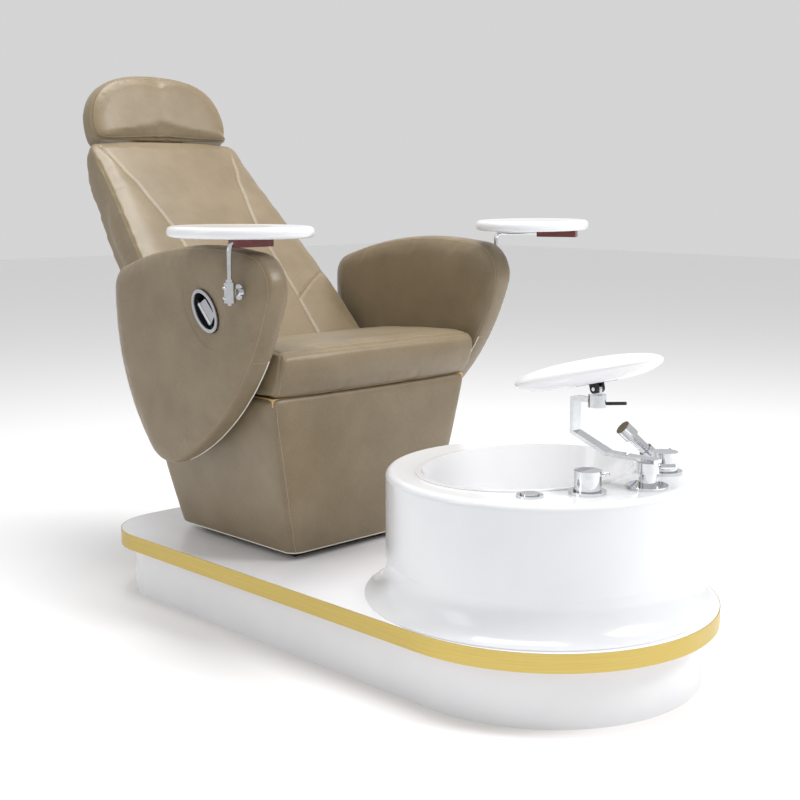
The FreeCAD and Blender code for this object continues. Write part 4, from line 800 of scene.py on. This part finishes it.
def makeBack():
    roll = back["roll"]
    line = []
    for k in range(13):
        angle = math.radians(180 - 90 * k / 12)
        line.append((roll * math.cos(angle), roll * math.sin(angle)))
    line += [(0.2, roll), (0.4, roll), (0.6, roll), (0.69, 0.0872), (0.7195, 0.0866),
             (0.7245, 0.0825), (0.7255, 0.075), (0.69, 0.038), (0.645, 0.004), (0.60, -0.006),
             (0.54, -0.015), (0.47, -0.026), (0.40, -0.0305), (0.2, -0.0315), (0.07, -0.0315),
             (0.052, -0.026), (0.048, -0.010)]
    for k in range(9):
        angle = math.radians(5 + 170 * k / 8)
        line.append((0.0475 * math.cos(angle), 0.0475 * math.sin(angle)))
    line += [(-0.060, -0.001), (-0.078, -0.001)]
    profile = spread([(u, w, 0) for u, w in line], 8 * mm, True)
    rings = []
    count = 53
    for k in range(count):
        t = -1 + 2 * k / (count - 1)
        ring = []
        for p in profile:
            x = t * backHalf(p.x)
            edge = abs(t) ** 6
            w = p.y
            if p.y > 0.05 and p.x > -0.05:
                w -= back["edgeDrop"] * edge
                seam = centreSeam(p.x)
                if abs(x) < seam:
                    w += back["crown"] * math.cos(math.pi / 2 * abs(x) / seam)
                else:
                    share = (abs(x) - seam) / max(0.01, backHalf(p.x) - seam)
                    w += back["sideCrown"] * math.sin(math.pi * min(1, share))
            ring.append(onBack(x, p.x, w))
        rings.append(ring)
    item = ringSolid("backUpholstery", rings, leather)
    remesh(item, 7.5 * mm)
    inflate(item, back["pressure"], back["cap"])
    subdivide(item)
    surface = surfaceOf(item)

    def snap(points):
        return [surface.find_nearest(p)[0] for p in spread(points, 6 * mm)]

    seams = []
    edges = []
    for s in (-1, 1):
        seams.append(snap([onBack(s * centreSeam(u / 100), u / 100, 0.094)
                           for u in range(-4, 71)]))
        edges.append(snap([onBack(s * backHalf(u / 100, 0.004), u / 100, 0.082)
                           for u in range(-4, 66)]))
        edges.append(snap([onBack(s * backHalf(u / 100, 0.004), u / 100, -0.028)
                           for u in range(6, 50)]))
        seams.append(snap([onBack(s * 0.130, 0.124, 0.094), onBack(s * 0.205, 0.178, 0.096),
                           onBack(s * 0.285, 0.225, 0.088)]))
    top = snap([onBack(backHalf(0.705, 0.004) * t, 0.7215, 0.084)
                for t in (-0.96, -0.5, 0, 0.5, 0.96)])
    carve(item, seams, back["seamWidth"], back["seamDepth"])
    carve(item, edges + [top], back["edgeWidth"], back["edgeDepth"])
    finishPiece(item, "backrest",
                ("back_cushion", "back_rear_pad", "back_board"))
    # Stitches lie outside the centre seams and inside the edge seams
    sew = [[p + Vector((0.0055 * (-1 if p.x < 0 else 1), 0, 0)) for p in line]
           for line in (seams[0], seams[2])]
    sew += [[p + Vector((0.006 * (1 if p.x < 0 else -1), 0, 0)) for p in line]
            for line in (edges[0], edges[2])]
    sew += [[p + backUp * 0.006 for p in line] for line in (seams[1], seams[3])]
    stitches("backStitches", item, sew, "backrest", stitchSpec)


makeBack()
print("back ready")


# Headrest: a D-shaped block with a boxing strip

head = {"pressure": 1.5, "cap": 3 * mm, "sag": 0.022, "centre": 0.10,
        "seamWidth": 5.5 * mm, "seamDepth": 2.2 * mm}
headPivot = Vector((0, 1.009519, 1.137958))
headLean = math.radians(15)
headUp = Vector((0, math.sin(headLean), math.cos(headLean)))
headFront = Vector((0, -math.cos(headLean), math.sin(headLean)))


def onHead(x, u, w):
    return headPivot + Vector((x, 0, 0)) + headUp * u + headFront * w


def headOutline():
    corners = [(-0.196, 0.015), (0.196, 0.015), (0.214, 0.023), (0.222, 0.047), (0.220, 0.080),
               (0.206, 0.121), (0.181, 0.154), (0.141, 0.179), (0.091, 0.193), (0.040, 0.198)]
    line = corners + [(-x, u) for x, u in reversed(corners[2:])]
    closed = smoothLine([(x, u, 0) for x, u in line] + [(-0.196, 0.015, 0)], 7 * mm)
    return spread(closed[:-1], 7 * mm, True)


def sag(u, depth):
    # The underside slopes down towards the rear, over the end of the back
    return u - head["sag"] * (1 - smoothStep(0.018, 0.075, u)) * smoothStep(-0.012, 0.036, -depth)


def makeHeadrest():
    outline = headOutline()
    middle = Vector((0, head["centre"], 0))
    sections = [(0.0385, 0.080), (0.0380, 0.055), (0.0365, 0.035), (0.0340, 0.020),
                (0.0300, 0.010), (0.0250, 0.004), (0.018, 0.001), (0.008, -0.001),
                (-0.010, -0.001), (-0.022, 0.000), (-0.0275, 0.003), (-0.0305, 0.010),
                (-0.0318, 0.024), (-0.0320, 0.080)]
    rings = []
    for depth, inset in sections:
        ring = []
        for p in outline:
            away = p - middle
            q = middle + away * (1 - (inset + 0.001) / away.length)
            ring.append(onHead(q.x, sag(q.y, depth), depth))
        rings.append(ring)
    item = ringSolid("headrestUpholstery", rings, leather)
    remesh(item, 6 * mm)
    inflate(item, head["pressure"], head["cap"])
    subdivide(item)
    surface = surfaceOf(item)

    def loop(depth, inset):
        ring = []
        for p in outline:
            away = p - middle
            q = middle + away * (1 - inset / away.length)
            ring.append(surface.find_nearest(onHead(q.x, sag(q.y, depth), depth))[0])
        return ring + ring[:1]

    seams = [loop(0.026, 0.001), loop(-0.027, 0.001)]
    carve(item, seams, head["seamWidth"], head["seamDepth"])
    finishPiece(item, "headrest", ("headrest_pad",))
    stitches("headrestStitches", item, [loop(0.031, 0.009)], "headrest", stitchSpec)


makeHeadrest()
print("headrest ready")


# Footrest pad: a crowned oval, with a low ridge round the hinge plate under it

pad = {"halfWidth": 0.118, "halfLength": 0.175, "shift": 0.019, "sole": 0.0163,
       "seamHeight": 0.0215, "seamRadius": 0.8 * mm}
padPivot = Vector((0.020, -0.524, 0.62634))
padTilt = Matrix.Rotation(math.radians(-14), 4, "X")


def makeFootPad():
    def ovalRing(shareWide, z, count=96):
        ring = []
        for k in range(count):
            angle = 2 * math.pi * k / count
            flat = Vector((pad["halfWidth"] * shareWide * math.cos(angle),
                           pad["shift"] + pad["halfLength"] * shareWide * math.sin(angle), z))
            ring.append(padPivot + padTilt @ flat)
        return ring

    sole = pad["sole"]
    sections = [(0.20, 0), (0.385, 0), (0.395, -0.0042), (0.42, -0.0050), (0.56, -0.0045),
                (0.74, -0.0010), (0.86, 0.0045), (0.94, 0.010), (0.985, 0.015), (1.0, 0.020),
                (0.992, 0.0245), (0.965, 0.0285), (0.915, 0.0325), (0.84, 0.0365),
                (0.74, 0.0400), (0.60, 0.0435), (0.42, 0.0462), (0.20, 0.0478)]
    rings = [ovalRing(share, sole + z) for share, z in sections]
    item = ringSolid("footrestCushion", rings, padVinyl)
    subdivide(item, 2)
    finishPiece(item, "footrest_cushion", ("footrest_pad",))
    edge = ovalRing(0.999, sole + pad["seamHeight"])
    seam = tubeObject("footrestSeam", edge, pad["seamRadius"], padVinyl, 8, True)
    finishPiece(seam, "footrest_cushion")


makeFootPad()


# Trays: solid ovals with a rounded edge

tray = {"halfWidth": 0.128, "halfLength": 0.165}


def makeTray(spec):
    angle = math.radians(spec["heading"])
    along = Vector((math.cos(angle), math.sin(angle), 0))
    across = Vector((-math.sin(angle), math.cos(angle), 0))
    centre = Vector(spec["post"]) + along * spec["reach"]

    def ovalRing(inset, z, count=112):
        ring = []
        for k in range(count):
            a = 2 * math.pi * k / count
            ring.append(centre + along * (tray["halfWidth"] - inset) * math.cos(a)
                        + across * (tray["halfLength"] - inset) * math.sin(a) + Vector((0, 0, z)))
        return ring

    sections = [(0.06, 0.9252), (0.014, 0.9252), (0.009, 0.9255), (0.005, 0.9268),
                (0.0015, 0.930), (0.0002, 0.934), (0.0, 0.939), (0.001, 0.9440),
                (0.004, 0.9482), (0.009, 0.9503), (0.014, 0.9509), (0.020, 0.9507),
                (0.026, 0.9498), (0.06, 0.9496)]
    rings = [ovalRing(inset, z) for inset, z in sections]
    item = ringSolid(f"trayTop_{spec['side']}", rings, whiteShell)
    subdivide(item, 1)
    finishPiece(item, f"{spec['side']}_tray", (f"tray_{spec['side']}",))


makeTray({"side": "right", "post": (-0.430, 0.121, 0), "heading": 36, "reach": 0.087})
makeTray({"side": "left", "post": (0.430, 0.128, 0), "heading": -86, "reach": 0.116})
print("pad and trays ready")


# Carried-over CAD nodes take better materials

finishes = {
    whiteShell: "plinth_skirt tub_shell",
    deckShell: "deck_shell",
    basinShell: "basin_liner",
    goldBand: "trim_band",
    chrome: "valve_flanges hot_valve_knob cold_valve_knob footrest_post footrest_arm "
            "footrest_socket collar_screw air_button_bezel air_button spray_holder "
            "spray_handset drain_fitting drain_stopper tray_brackets tray_rod_left "
            "tray_rod_right",
    plywood: "base_carcass deck_board baseboard",
    stainedWood: "tray_block_left tray_block_right",
    blackSteel: "frame_rails hinge_straps hinge_brackets headrest_bracket headrest_plate "
                "gas_cylinder base_plate pad_hinge",
    brightSteel: "gas_rod arm_bolts base_bolts",
    silverPlate: "lever_bezel recline_paddle",
    blackPlastic: "lever_cup pivot_lever jet_unit",
}
for material, names in finishes.items():
    for name in names.split():
        for slot in nodes[name].material_slots:
            slot.material = material
print("CAD finishes set")


# Studio: pale floor, soft light

def addLight(name, spec):
    data = bpy.data.lights.new(name, "AREA")
    data.shape = "RECTANGLE"
    data.size, data.size_y = spec["size"]
    data.energy = spec["power"]
    lamp = bpy.data.objects.new(name, data)
    lamp.location = spec["place"]
    aim = Vector(spec["aim"]) - Vector(spec["place"])
    lamp.rotation_euler = aim.to_track_quat("-Z", "Y").to_euler()
    scene.collection.objects.link(lamp)


# Seamless matte backdrop vinyl: pale, and no pattern
floorMaterial = startMaterial("paleFloor", {"Base Color": (0.93, 0.93, 0.94, 1), "Roughness": 0.7})[0]
reach = 14
corners = [(-reach, -reach, 0), (reach, -reach, 0), (reach, reach, 0), (-reach, reach, 0)]
floor = makeObject("studioFloor", corners, [(0, 1, 2, 3)], floorMaterial)
world = bpy.data.worlds.new("studio")
world.use_nodes = True
world.node_tree.nodes["Background"].inputs["Color"].default_value = (1.0, 1.0, 1.0, 1)
world.node_tree.nodes["Background"].inputs["Strength"].default_value = 0.66
scene.world = world
addLight("keySoftbox", {"place": (1.6, -2.8, 3.2), "aim": (0, 0, 0.6),
                        "size": (1.6, 1.2), "power": 92})
addLight("topSoftbox", {"place": (0.2, 0.2, 4.0), "aim": (0, 0.1, 0.5),
                        "size": (2.0, 2.0), "power": 112})
addLight("rimSoftbox", {"place": (-3.2, 0.8, 2.2), "aim": (0, 0.3, 0.7),
                        "size": (1.2, 2.2), "power": 12})
scene.view_settings.view_transform = "Standard"
scene.view_settings.look = "None"
